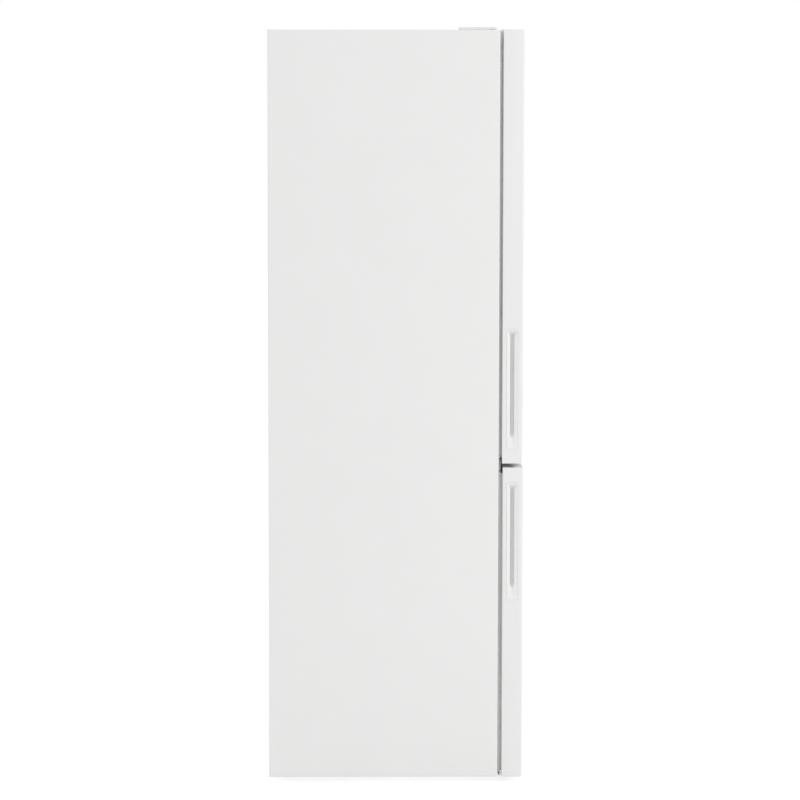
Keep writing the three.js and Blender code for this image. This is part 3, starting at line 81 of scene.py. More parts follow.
def linked(name, data):
    """A new object, linked to the scene."""
    thing = bpy.data.objects.new(name, data)
    bpy.context.collection.objects.link(thing)
    return thing


def facing(place, direction, roll=0.0):
    """The matrix of a camera or lamp that stands at a place and looks along a direction."""
    turn = direction.to_track_quat("-Z", "Y").to_matrix() @ Matrix.Rotation(roll, 3, "Z")
    return Matrix.Translation(place) @ turn.to_4x4()


def add_node(tree, kind, **constants):
    """A shader node with its constants. An underscore stands for the space in a socket's name."""
    node = tree.nodes.new("ShaderNode" + kind)
    for socket, value in constants.items():
        node.inputs[socket.replace("_", " ")].default_value = value
    return node


def make_camera():
    data = bpy.data.cameras.new("camera")
    data.sensor_width = SENSOR_WIDTH
    data.lens = CAMERA_LENS
    camera = linked("camera", data)
    camera.matrix_world = facing(CAMERA_PLACE, CAMERA_DIRECTION, CAMERA_ROLL)
    bpy.context.scene.camera = camera


def seen_directly(tree):
    """1 where a ray comes from the camera, or by gloss or through glass."""
    path = add_node(tree, "LightPath")
    total = path.outputs["Is Camera Ray"]
    for ray in ("Is Glossy Ray", "Is Transmission Ray"):
        either = add_node(tree, "Math")
        either.operation = "MAXIMUM"
        tree.links.new(total, either.inputs[0])
        tree.links.new(path.outputs[ray], either.inputs[1])
        total = either.outputs[0]
    return total


def put_out(tree, output, lighting, seen):
    """Sends one shader to the rays that light the scene, and another to those that show it."""
    mix = add_node(tree, "MixShader")
    tree.links.new(seen_directly(tree), mix.inputs["Fac"])
    tree.links.new(lighting.outputs[0], mix.inputs[1])
    tree.links.new(seen.outputs[0], mix.inputs[2])
    tree.links.new(mix.outputs[0], add_node(tree, output).inputs["Surface"])


def make_world():
    world = bpy.data.worlds.new("studio")
    bpy.context.scene.world = world
    world.use_nodes = True
    tree = world.node_tree
    tree.nodes.clear()
    light = add_node(tree, "Background", Color=WHITE, Strength=AMBIENT)
    white = add_node(tree, "Background", Color=WHITE, Strength=BACKGROUND_WHITE)
    put_out(tree, "OutputWorld", light, white)


def make_floor():
    """A floor that bounces light like white paper and looks white wherever no shadow falls."""
    half = FLOOR_SIZE / 2
    mesh = bpy.data.meshes.new("floor")
    corners = [(-half, -half, 0), (half, -half, 0), (half, half, 0), (-half, half, 0)]
    mesh.from_pydata(corners, [], [(0, 1, 2, 3)])
    floor = linked("floor", mesh)
    material = bpy.data.materials.new("floor_white")
    material.use_nodes = True
    tree = material.node_tree
    tree.nodes.clear()
    bouncing = add_node(tree, "BsdfDiffuse", Color=(*FLOOR_COLOUR, 1))
    seen = add_node(tree, "BsdfDiffuse", Color=(*SEEN_FLOOR_COLOUR, 1))
    glow = add_node(tree, "Emission", Strength=SEEN_FLOOR_GLOW)
    glowing = add_node(tree, "AddShader")
    tree.links.new(seen.outputs[0], glowing.inputs[0])
    tree.links.new(glow.outputs[0], glowing.inputs[1])
    put_out(tree, "OutputMaterial", bouncing, glowing)
    mesh.materials.append(material)


def make_lamp(name, place, power):
    data = bpy.data.lights.new(name, "AREA")
    data.shape = "DISK"
    data.size = LAMP_SIZE
    data.energy = power
    lamp = linked(name, data)
    lamp.matrix_world = facing(place, LAMP_TARGET - Vector(place))
    lamp.visible_glossy = False  # or the top clips to white where it mirrors the lamp


bpy.context.scene.view_settings.view_transform = "Standard"
make_camera()
make_world()
make_floor()
for lamp_name, (lamp_place, lamp_power) in LAMPS.items():
    make_lamp(lamp_name, lamp_place, lamp_power)

# ---- finishes

NOISE_LOW, NOISE_HIGH = 0.3, 0.7  # nearly all of a noise lies between these
CLOUD_DETAIL = 4.0
GRAIN_DETAIL = 2.0
EVEN = (1, 1, 1)
ALONG_Z = (1, 1, 0.04)


class Finish:
    """One node material together with the record's slot that it belongs to."""

    def __init__(self, name, slot, colour, roughness, metallic=0.0, **constants):
        self.slot = slot
        self.colour = colour
        self.material = bpy.data.materials.new(name)
        self.material.use_nodes = True
        self.tree = self.material.node_tree
        self.shader = self.tree.nodes["Principled BSDF"]
        constants.update({"Base Color": (*colour, 1), "Roughness": roughness, "Metallic": metallic})
        for socket, value in constants.items():
            self.shader.inputs[socket].default_value = value

    def fed(self, source, kind, socket, **constants):
        """A new node that gets source at one of its sockets."""
        node = add_node(self.tree, kind, **constants)
        self.tree.links.new(source, node.inputs[socket])
        return node

    def shade(self, source, socket):
        """Links source to the shader."""
        self.tree.links.new(source, self.shader.inputs[socket])
        return self

    def place(self):
        return add_node(self.tree, "TexCoord").outputs["Object"]

    def noise(self, scale, detail, stretch=EVEN):
        mapping = self.fed(self.place(), "Mapping", "Vector", Scale=stretch)
        return self.fed(mapping.outputs["Vector"], "TexNoise", "Vector", Scale=scale, Detail=detail).outputs["Fac"]

    def ranged(self, source, start, end, low, high):
        """A node that goes from low to high where source goes from start to end."""
        return self.fed(source, "MapRange", "Value", From_Min=start, From_Max=end, To_Min=low, To_Max=high)

    def tinted(self, scale, amount):
        """Slow light and dark clouds of the colour."""
        ramp = self.fed(self.noise(scale, CLOUD_DETAIL), "ValToRGB", "Fac")
        ends = ((NOISE_LOW, 1 - amount), (NOISE_HIGH, 1 + amount))
        for stop, (position, gain) in zip(ramp.color_ramp.elements, ends):
            stop.position = position
            stop.color = (*[min(1, channel * gain) for channel in self.colour], 1)
        return self.shade(ramp.outputs["Color"], "Base Color")

    def worn(self, scale, low, high):
        """Roughness that wanders between two values."""
        wear = self.ranged(self.noise(scale, CLOUD_DETAIL), NOISE_LOW, NOISE_HIGH, low, high)
        return self.shade(wear.outputs["Result"], "Roughness")

    def grained(self, scale, distance, strength, stretch=EVEN):
        """A fine relief, distance deep."""
        relief = self.noise(scale, GRAIN_DETAIL, stretch)
        bump = self.fed(relief, "Bump", "Height", Strength=strength, Distance=distance)
        return self.shade(bump.outputs["Normal"], "Normal")

    def painted_shade_behind_edge(self, edge, start, end):
        """Painted shade: a darker colour behind a lighter front edge, standing in for the shade that deepens away
        from the front.
        """
        parts = self.fed(self.place(), "SeparateXYZ", "Vector")
        painted_shade_fade = self.ranged(parts.outputs["Y"], start, end, 1.0, 0.0)
        painted_shade_fade.interpolation_type = "SMOOTHSTEP"
        blend = add_node(self.tree, "Mix")
        blend.data_type = "RGBA"
        blend.inputs["A"].default_value = (*self.colour, 1)
        blend.inputs["B"].default_value = (*edge, 1)
        self.tree.links.new(painted_shade_fade.outputs["Result"], blend.inputs["Factor"])
        return self.shade(blend.outputs["Result"], "Base Color")

    def clear(self, face_on, edge_on, blend=0.35):
        """See-through, more so face on than along the surface."""
        weight = add_node(self.tree, "LayerWeight", Blend=blend)
        alpha = self.ranged(weight.outputs["Facing"], 0, 1, face_on, edge_on)
        return self.shade(alpha.outputs["Result"], "Alpha")


# Finish gives colour and roughness. tinted takes scale and amount, worn takes scale and the two
# roughnesses, and grained takes scale, depth and strength.
PAINT = Finish("white_paint", "painted_steel", (0.845, 0.845, 0.84), 0.42)
PAINT.tinted(9, 0.006).worn(24, 0.38, 0.46).grained(420, 0.00006, 0.35)
BACK_PAINT = Finish("back_paint", "painted_steel", (0.74, 0.745, 0.75), 0.5)
BACK_PAINT.tinted(5, 0.02).worn(12, 0.44, 0.58).grained(420, 0.00006, 0.35)
PLASTIC = Finish("white_plastic", "white_plastic", (0.84, 0.84, 0.835), 0.4)
PLASTIC.tinted(14, 0.008).worn(30, 0.38, 0.42).grained(900, 0.00004, 0.4)
LINER = Finish("liner_plastic", "white_plastic", (0.83, 0.84, 0.845), 0.42)
LINER.tinted(6, 0.006).grained(700, 0.00004, 0.3)
TRIM = Finish("trim_plastic", "white_plastic", (0.86, 0.86, 0.855), 0.4)
TRIM.tinted(20, 0.01).worn(40, 0.36, 0.42).grained(700, 0.00004, 0.4)
GREY = Finish("grey_plastic", "grey_plastic", (0.33, 0.33, 0.335), 0.5)
GREY.tinted(30, 0.05).worn(30, 0.44, 0.56).grained(1400, 0.00006, 0.6)
# Light grey plastic. On the hinge cover's base it is also painted shade, a darker band under the white shell.
STRIP = Finish("strip_plastic", "grey_plastic", (0.8, 0.805, 0.81), 0.42)
STRIP.tinted(20, 0.02).worn(30, 0.38, 0.48).grained(1400, 0.00005, 0.5)
# The caps that face the gap between the doors: a darker copy of the white plastic, painted shade that lightens
# towards their front edge.
PAINTED_SHADE_CAP = Finish("cap_plastic_painted_shade", "white_plastic", (0.8, 0.8, 0.8), 0.5)
PAINTED_SHADE_CAP.painted_shade_behind_edge((0.84, 0.84, 0.84), -0.303, -0.287).worn(30, 0.44, 0.56).grained(1400, 0.00005, 0.5)
DARK = Finish("dark_plastic", "dark_plastic", (0.03, 0.03, 0.032), 0.55)
DARK.tinted(30, 0.1).worn(30, 0.48, 0.62).grained(1200, 0.00008, 0.6)
SEAL = Finish("seal_rubber", "gasket", (0.89, 0.89, 0.885), 0.62)
SEAL.tinted(40, 0.02).worn(50, 0.56, 0.7).grained(1500, 0.00003, 0.5)
BLACK_RUBBER = Finish("black_rubber", "dark_plastic", (0.025, 0.025, 0.025), 0.75)
BLACK_RUBBER.tinted(60, 0.12).grained(1500, 0.00006, 0.6)
ZINC = Finish("zinc_steel", "zinc_steel", (0.62, 0.63, 0.645), 0.34, metallic=1.0)
ZINC.tinted(120, 0.05).worn(90, 0.3, 0.42).grained(500, 0.00004, 0.4)
SCREW = Finish("screw_steel", "zinc_steel", (0.6, 0.6, 0.61), 0.3, metallic=1.0)
SCREW.tinted(300, 0.06).worn(400, 0.24, 0.4).grained(2500, 0.00002, 0.4)
ALUMINIUM = Finish("fin_aluminium", "aluminium", (0.75, 0.76, 0.77), 0.36, metallic=1.0)
ALUMINIUM.tinted(80, 0.06).worn(60, 0.3, 0.46).grained(500, 0.0002, 0.6, ALONG_Z)
COPPER = Finish("pipe_copper", "copper", (0.72, 0.39, 0.27), 0.32, metallic=1.0)
COPPER.tinted(70, 0.16).worn(80, 0.26, 0.46).grained(900, 0.00003, 0.3)
BLACK_PAINT = Finish("black_paint", "black_steel", (0.02, 0.02, 0.022), 0.36)
BLACK_PAINT.tinted(40, 0.12).worn(50, 0.3, 0.46).grained(500, 0.00012, 0.5)
FOAM = Finish("rigid_foam", "foam", (0.78, 0.68, 0.42), 0.95)
FOAM.tinted(24, 0.07).grained(700, 0.0006, 0.8)
CLEAR = Finish("clear_plastic", "clear_plastic", (0.86, 0.9, 0.92), 0.1, IOR=1.5)
CLEAR.worn(20, 0.07, 0.14).grained(90, 0.00006, 0.2).clear(0.12, 0.62)
GLASS = Finish("shelf_glass", "shelf_glass", (0.74, 0.88, 0.82), 0.04, IOR=1.52)
GLASS.worn(6, 0.03, 0.07).clear(0.18, 0.7, 0.3)
FROSTED = Finish("frosted_plastic", "clear_plastic", (0.93, 0.94, 0.92), 0.35, IOR=1.5)
FROSTED.worn(60, 0.3, 0.42).grained(500, 0.0001, 0.5).clear(0.62, 0.95)

# ---- dressing the carried-over nodes

WELD_DISTANCE = 0.01 * MM
FLAT_ANGLE = math.radians(0.6)
EDGE_ANGLE = math.radians(28)
NODE_EDGE = 0.3 * MM
NODE_EDGE_SEGMENTS = 2
PIECE_EDGE_SEGMENTS = 3
SHADE_ATTRIBUTES = ("custom_normal", "sharp_edge", "sharp_face")
SLOTTED_SHEETS = ("freezer_duct_panel", "fridge_air_duct")


def soften(piece, width, segments):
    """Rounds the edges of a piece by a modifier."""
    bevel = piece.modifiers.new("edges", "BEVEL")
    bevel.width = width
    bevel.segments = segments
    bevel.limit_method = "ANGLE"
    bevel.angle_limit = EDGE_ANGLE
    bevel.harden_normals = True
    return bevel


def dress(name, finish, edge):
    """Gives a node its finish and softly rounded edges. Without an edge it stays flat faced."""
    node = nodes[name]
    mesh = node.data
    mesh.materials.clear()
    mesh.materials.append(finish.material)
    for attribute in SHADE_ATTRIBUTES:
        if attribute in mesh.attributes:
            mesh.attributes.remove(mesh.attributes[attribute])
    if not edge:
        mesh.shade_flat()
        return
    mesh.shade_smooth()
    weld = node.modifiers.new("weld", "WELD")
    weld.merge_threshold = WELD_DISTANCE
    flatten = node.modifiers.new("flatten", "DECIMATE")
    flatten.decimate_type = "DISSOLVE"
    flatten.angle_limit = FLAT_ANGLE
    # An arc at the corners of a slotted sheet would make the outline of its face cross itself.
    mitre = "MITER_SHARP" if name in SLOTTED_SHEETS else "MITER_ARC"
    soften(node, edge, NODE_EDGE_SEGMENTS).miter_outer = mitre


DRESSED = {
    PAINT: ["side_panel_left", "side_panel_right", "top_panel", "upper_door_skin", "lower_door_skin"],
    PLASTIC: ["upper_door_cap_top", "lower_door_cap_bottom", "control_housing", "fridge_air_duct"],
    # The caps that face the gap between the doors, with painted shade.
    PAINTED_SHADE_CAP: ["upper_door_cap_bottom", "lower_door_cap_top"],
    LINER: ["freezer_liner", "lower_door_liner", "freezer_duct_panel"],
    STRIP: ["middle_crossbeam"],
    GREY: ["damper_slider"],
    DARK: ["fan_motor", "fan_impeller", "relay_box", "drip_tray"],
    ZINC: [
        "base_plate", "top_hinge", "middle_hinge", "bottom_hinge", "compressor_base",
        "roller_axle_left", "roller_axle_right",
    ],
    ALUMINIUM: ["evaporator"],
    GLASS: ["shelf_lower", "shelf_middle", "shelf_upper", "crisper_lid"],
    FOAM: ["insulation_foam", "lower_door_foam"],
}
WIDE_EDGES = {
    "insulation_foam": 0,
    "lower_door_foam": 0,
    "control_housing": 1.5 * MM,
    "fridge_air_duct": 0.9 * MM,
    "freezer_liner": 1.2 * MM,
    "lower_door_liner": 1.8 * MM,
    "relay_box": 2.0 * MM,
    "drip_tray": 0.8 * MM,
}
for dressing, members in DRESSED.items():
    for member in members:
        dress(member, dressing, WIDE_EDGES.get(member, NODE_EDGE))

# ---- mesh building

CORNER_STEPS = 8
CLOSE = 1e-6  # points closer than this become one
SMALLEST_RADIUS = 1e-5
AXIS_RADIUS = 0.0001  # where the profile of a turned shape closes on its axis
NEAR = 0.3 * MM  # the clearance between neighbours
TURNS = {
    "Z": Matrix.Identity(4),
    "-Z": Matrix.Rotation(math.pi, 4, "X"),
    "X": Matrix.Rotation(math.pi / 2, 4, "Y"),
    "Y": Matrix.Rotation(-math.pi / 2, 4, "X"),
    "-Y": Matrix.Rotation(math.pi / 2, 4, "X"),
}


def circle(steps):
    """Cosine and sine at even steps round a circle."""
    return [(math.cos(angle), math.sin(angle)) for angle in (2 * math.pi * i / steps for i in range(steps))]


def quarter(steps):
    """Sine and versed sine along a quarter turn."""
    return [(math.sin(i / steps * math.pi / 2), 1 - math.cos(i / steps * math.pi / 2)) for i in range(steps + 1)]


def ease(value):
    """A smooth step from 0 to 1."""
    value = min(1.0, max(0.0, value))
    return value * value * (3 - 2 * value)


def placed(axis, u, v, along):
    return {"x": (along, u, v), "y": (u, along, v), "z": (u, v, along)}[axis]


def rounded(u, v, radius, steps=CORNER_STEPS, cuts=1):
    """A rectangle with round corners as (u, v) points. cuts divides its low-v side."""
    radius = max(radius, SMALLEST_RADIUS)
    corners = [
        (u[0] + radius, v[0] + radius, math.pi),
        (u[1] - radius, v[0] + radius, 1.5 * math.pi),
        (u[1] - radius, v[1] - radius, 0.0),
        (u[0] + radius, v[1] - radius, 0.5 * math.pi),
    ]
    points = []
    for number, (cu, cv, start) in enumerate(corners):
        for i in range(steps + 1):
            angle = start + i / steps * math.pi / 2
            points.append((cu + radius * math.cos(angle), cv + radius * math.sin(angle)))
        if number == 0:
            low, high = points[-1], (u[1] - radius, v[0])
            points += [(low[0] + (high[0] - low[0]) * i / cuts, v[0]) for i in range(1, cuts)]
    return points


def panel(axis, u, v, radius, along, steps=CORNER_STEPS):
    """A rectangle with round corners as points across an axis."""
    return [placed(axis, *point, along) for point in rounded(u, v, radius, steps)]


def section(u, v, points):
    """Points that are given in millimetres from (u, v)."""
    return [(u + across * MM, v + up * MM) for across, up in points]


def block(root, nose, low, high):
    return [(root, low), (nose, low), (nose, high), (root, high)]


def grown(span, by):
    return (span[0] - by, span[1] + by)


def around(middle, length):
    return (middle - length / 2, middle + length / 2)


def mid(span):
    return (span[0] + span[1]) / 2


def size(span):
    return span[1] - span[0]


def spans(name):
    """The x, y and z span of a node."""
    low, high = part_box(name)
    return tuple(zip(low, high))


def hand_over(piece, finish, body, replaces):
    """Gives a piece its finish and the body it rides on, and hides the nodes it replaces."""
    piece.data.materials.append(finish.material)
    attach(piece, body)
    if replaces:
        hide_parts(*replaces)


class Form:
    """A mesh under construction, in the row frame."""

    def __init__(self):
        self.bm = bmesh.new()

    def loft(self, rings, closed=False):
        """Skins rings of equally many points, one after the other. The ends get caps, or meet if closed."""
        loops = [[self.bm.verts.new(point) for point in ring] for ring in rings]
        pairs = list(zip(loops, loops[1:])) + ([(loops[-1], loops[0])] if closed else [])
        for one, other in pairs:
            for i, _ in enumerate(one):
                j = (i + 1) % len(one)
                self.bm.faces.new((one[i], one[j], other[j], other[i]))
        if not closed:
            self.bm.faces.new(list(reversed(loops[0])))
            self.bm.faces.new(loops[-1])
        return self

    def turned(self, profile, centre, axis="Z", steps=48, closed=False):
        """Turns a profile of radius and height about an axis through centre."""
        place = Matrix.Translation(centre) @ TURNS[axis]
        rings = [
            [place @ Vector((radius * across, radius * up, height)) for across, up in circle(steps)]
            for radius, height in profile
        ]
        return self.loft(rings, closed)

    def bar(self, outline, axis, start, end):
        """Runs an outline along an axis. It is drawn in y and z, in x and z or in x and y."""
        return self.loft([[placed(axis, u, v, along) for u, v in outline] for along in (start, end)])

    def done(self, name, finish, body="cabinet", replaces=(), angle=35.0, edge=0.0):
        bmesh.ops.remove_doubles(self.bm, verts=self.bm.verts, dist=CLOSE)
        bmesh.ops.recalc_face_normals(self.bm, faces=self.bm.faces)
        mesh = bpy.data.meshes.new(name)
        self.bm.to_mesh(mesh)
        self.bm.free()
        mesh.shade_smooth()
        mesh.set_sharp_from_angle(angle=math.radians(angle))
        piece = linked(name, mesh)
        if edge:
            soften(piece, edge, PIECE_EDGE_SEGMENTS)
        hand_over(piece, finish, body, replaces)


# ---- door seals

# Half a section of the seal: how far inside its foot's edge, and how far from the door as a share of its depth.
SEAL_SIDE = [
    (0.0, 0.0), (0.0, 0.12), (0.5, 0.16), (3.6, 0.2), (4.4, 0.26), (3.2, 0.33), (0.2, 0.38), (-1.6, 0.44),
    (-1.8, 0.52), (0.4, 0.58), (0.6, 0.64), (-2.0, 0.69), (-3.4, 0.75), (-3.6, 0.86), (-3.2, 0.91), (-2.0, 0.94),
    (0.6, 0.96), (1.0, 1.0),
]
SEAL_SIDEWAYS = 1.5  # how much further the seal bulges at its upright runs
SEAL_FOOT = 20 * MM
SEAL_CORNER = 0.6 * MM
SEAL_CORNER_STEPS = 2

# Section of the lip, from the seal's side at the door and from its underside.
LIP = [
    (0.3, 0.5), (0.1, -4), (0.5, -9), (2.2, -12.6), (5.4, -13.4), (7.2, -13.0), (7.1, -11.0), (4.9, -8), (3.7, -4),
    (5.2, 0.5),
]
LIP_SIDEWAYS = 5 * MM  # how far the lip reaches past the seal's foot at either end


def make_seal(door):
    x, y, z = spans(f"{door}_gasket")
    profile = [(inset * MM, y[0] + size(y) * share) for inset, share in SEAL_SIDE]
    profile += [(SEAL_FOOT - inset * MM, y[0] + size(y) * share) for inset, share in reversed(SEAL_SIDE)]
    rings = []
    for inset, reach in profile:
        sideways = inset * (SEAL_SIDEWAYS if inset < 0 else 1)
        rings.append(panel("y", grown(x, -sideways), grown(z, -inset), SEAL_CORNER, reach, SEAL_CORNER_STEPS))
    Form().loft(rings, closed=True).done(f"{door}_seal", SEAL, door, [f"{door}_gasket"], angle=50)


def make_sealing_lip():
    """A soft lip below the lower door's seal that keeps dust out of the gap."""
    x, y, z = spans("lower_door_gasket")
    lip = Form().bar(section(y[0], z[0], LIP), "x", *grown(x, LIP_SIDEWAYS))
    lip.done("lower_door_sealing_lip", SEAL, "lower_door", angle=50)


make_seal("upper_door")
make_seal("lower_door")
make_sealing_lip()

# ---- grips

GRIP_COLLAR_MARGIN = 2.5 * MM  # from the edge of the cup's body to its collar in the skin
GRIP_CORNER = 7.2 * MM
GRIP_LIP = 0.9 * MM
GRIP_SHELL = 1.6 * MM
TRAY_DEPTH = 2.4 * MM
TRAY_FOOT = 17 * MM  # height of the slope at the tray's lower end
TRAY_HEAD = 7 * MM
SLOT_DEPTH = 16 * MM
SLOT_HALF = 5.3 * MM
SLOT_HEAD_HALF = 9.3 * MM
SLOT_HEAD = 15 * MM  # over this height the slot widens to its head
SLOT_START = 23 * MM
SLOT_WIDENING = 17 * MM
SLOT_RAMP = 24 * MM
SLOT_CEILING = 15 * MM  # height of the slope under the slot's upper edge
SLOT_WALL = ((0.97, 0.05), (0.92, 0.14), (0.87, 0.3), (0.82, 0.55), (0.76, 0.8), (0.62, 0.95), (0.4, 1.0))
TRAY_STEPS = 10
COLLAR_INSIDE = 1.1 * MM  # from the door's face to the front of the collar
COLLAR_SHEET = 1.6 * MM
# Rows up the cup from its lower end, and down from its upper end, in millimetres.
FOOT_ROWS = [
    0.0, 0.2, 0.6, 1.2, 2.0, 3.0, 4.2, 5.6, 7.2, 9, 11, 13, 15, 17, 19, 21, 22.9, 23.1, 24, 25.5,
    27, 29, 31, 33, 35, 37, 39, 41, 43, 45, 48, 52, 58, 66,
]
HEAD_ROWS = [0.0, 0.2, 0.6, 1.2, 2.0, 3.0, 4.2, 5.6, 6.9, 7.1, 7.6, 8.4, 9.6, 11, 13, 15, 17, 19.5, 22, 25, 30, 40]
MIDDLE_ROWS = 12


def grip_heights(height):
    """Rows up the cup, closer together at its ends."""
    low, high = FOOT_ROWS[-1] * MM, height - HEAD_ROWS[-1] * MM
    middle = [low + (high - low) * i / MIDDLE_ROWS for i in range(1, MIDDLE_ROWS)]
    return [row * MM for row in FOOT_ROWS] + middle + [height - row * MM for row in reversed(HEAD_ROWS)]


def grip_row(foot, head, half):
    """The cup's inner profile at one height as (across, depth), from the lip's edge to the middle."""
    end = min(foot, head)
    if end < GRIP_CORNER:
        half -= GRIP_CORNER - math.sqrt(GRIP_CORNER ** 2 - (GRIP_CORNER - end) ** 2)
    tray = TRAY_DEPTH * ease((foot - GRIP_LIP) / TRAY_FOOT) * ease((head - GRIP_LIP) / (TRAY_HEAD - GRIP_LIP))
    slot = SLOT_HALF * min(1.0, max(0.0, foot - SLOT_START) / SLOT_WIDENING) ** 0.7
    slot += (SLOT_HEAD_HALF - SLOT_HALF) * (1 - ease((head - TRAY_HEAD) / SLOT_HEAD)) if foot > head else 0
    slot = min(max(slot, 0.15 * MM), 0.72 * half)
    deep = tray
    if head > TRAY_HEAD:
        ceiling = min(1.0, 0.12 + (head - TRAY_HEAD) / SLOT_CEILING)
        deep += (SLOT_DEPTH - TRAY_DEPTH) * ease((foot - SLOT_START) / SLOT_RAMP) * ceiling
    lip = min(GRIP_LIP, 0.2 * half)
    inner = half - lip
    profile = [(half, 0.6 * MM), (half - 0.25 * lip, 0.15 * MM), (half - 0.5 * lip, 0.0)]
    for i in range(TRAY_STEPS + 1):
        share = i / TRAY_STEPS
        profile.append((inner + (slot - inner) * share, tray * ease(share * 0.62 + 0.02) / ease(0.64)))
    return profile + [(slot * share, tray + (deep - tray) * drop) for share, drop in SLOT_WALL]


def make_grip(door):
    """A cup in the door's left edge: a tray with gentle slopes and, in its middle, a deep slot."""
    x, y, z = spans(f"{door}_grip")
    collar_y, collar_z = grown(y, -GRIP_COLLAR_MARGIN), grown(z, -GRIP_COLLAR_MARGIN)
    rings = []
    for foot in grip_heights(size(collar_z)):
        right = grip_row(foot, size(collar_z) - foot, size(collar_y) / 2)
        front = [(-across, depth) for across, depth in right] + right[::-1]
        back = [(across, depth + GRIP_SHELL + 0.8 * MM) for across, depth in reversed(front)]
        level = collar_z[0] + foot
        rings.append([(x[0] + depth, mid(collar_y) + across, level) for across, depth in front + back])
    near = spans(f"{door}_skin")[0][0] + COLLAR_INSIDE
    far = near + COLLAR_SHEET
    collar = [
        panel("x", grown(collar_y, by), grown(collar_z, by), GRIP_CORNER + by, depth)
        for by, depth in ((-0.4 * MM, near), (2.2 * MM, near), (2.2 * MM, far), (-0.4 * MM, far))
    ]
    cup = Form().loft(rings).loft(collar, closed=True)
    cup.done(f"{door}_grip_cup", TRIM, door, [f"{door}_grip"], angle=42)


def make_upper_door_foam():
    """The foam between the door's skin and its inner wall, clear of the grip and of the hinge's bosses."""
    x, y, z = spans("upper_door_foam")
    grip_x, grip_y, grip_z = [grown(span, NEAR) for span in spans("upper_door_grip")]
    rear = spans("upper_door_liner")[1][0] - NEAR
    corner = rounded(x, (y[0], rear + 10 * MM), 4.2 * MM)
    front_edge = [(u, v) for u, v in corner if v < y[0] + 5 * MM]
    boss = 13.5 * MM
    levels = [(z[0] + boss, x[0]), (grip_z[0], x[0]), (grip_z[0], grip_x[1]), (grip_z[1], grip_x[1])]
    levels += [(grip_z[1], x[0]), (z[1] - boss, x[0])]
    rings = []
    for level, notch in levels:
        left = [(x[0], rear), (x[0], grip_y[1]), (notch, grip_y[1]), (notch, grip_y[0]), (x[0], grip_y[0])]
        rings.append([(u, v, level) for u, v in left + front_edge + [(x[1], rear)]])
    Form().loft(rings).done("upper_door_filling", FOAM, "upper_door", ["upper_door_foam"], angle=30)


make_grip("upper_door")
make_grip("lower_door")
make_upper_door_foam()

# ---- liners

LINER_WALL = 1.5 * MM
LINER_RADIUS = 18 * MM
LIP_RADIUS = 4 * MM
SHELVES = ["crisper_lid", "shelf_lower", "shelf_middle", "shelf_upper"]
PLACES = ["lower", "middle", "upper"]
DOOR_FRAME = 26 * MM  # width of the raised frame on the upper door's inner wall
DOOR_FRAME_CORNER = 20 * MM
DOOR_FRAME_MARGIN = 12 * MM  # from the lowest bin to the frame


def make_shelf_rib(number, shelf, half):
    """A ledge at either side of the fridge that a shelf lies on."""
    _, y, z = spans(shelf)
    top = z[0] - NEAR
    form = Form()
    for side in (-1, 1):
        outline = block(side * (half + 0.5 * MM), side * (half - 9 * MM), top - 6 * MM, top)
        form.bar(outline, "y", *y)
    form.done(f"shelf_rib_{number}", LINER, edge=1.6 * MM)


def make_fridge_liner():
    """The inner wall of the fridge with round edges all about its back, and a flange in front."""
    x, y, z = spans("fridge_liner")
    half = spans("crisper_lid")[0][1] + 1.5 * MM
    back = y[1] - LINER_WALL
    front = y[0] + LINER_WALL
    space = ((-half, half), (z[0] + LINER_WALL, spans("control_housing")[2][1] + NEAR))

    def ring(grow, depth, radius):
        return panel("y", grown(space[0], grow), grown(space[1], grow), radius, depth)

    rings = [ring(LINER_WALL, depth, LINER_RADIUS + LINER_WALL) for depth in (y[1], front)]
    rings += [panel("y", x, z, 0.5 * MM, depth) for depth in (front, y[0])]
    rings += [ring(LIP_RADIUS * (1 - sine), y[0] + LIP_RADIUS * versed, LINER_RADIUS) for sine, versed in quarter(4)]
    for sine, versed in quarter(8):
        rings.append(ring(-LINER_RADIUS * versed, back - LINER_RADIUS * (1 - sine), LINER_RADIUS * (1.02 - versed)))
    Form().loft(rings).done("fridge_inner_wall", LINER, "cabinet", ["fridge_liner"], angle=40)
    for number, shelf in enumerate(SHELVES, 1):
        make_shelf_rib(number, shelf, half)


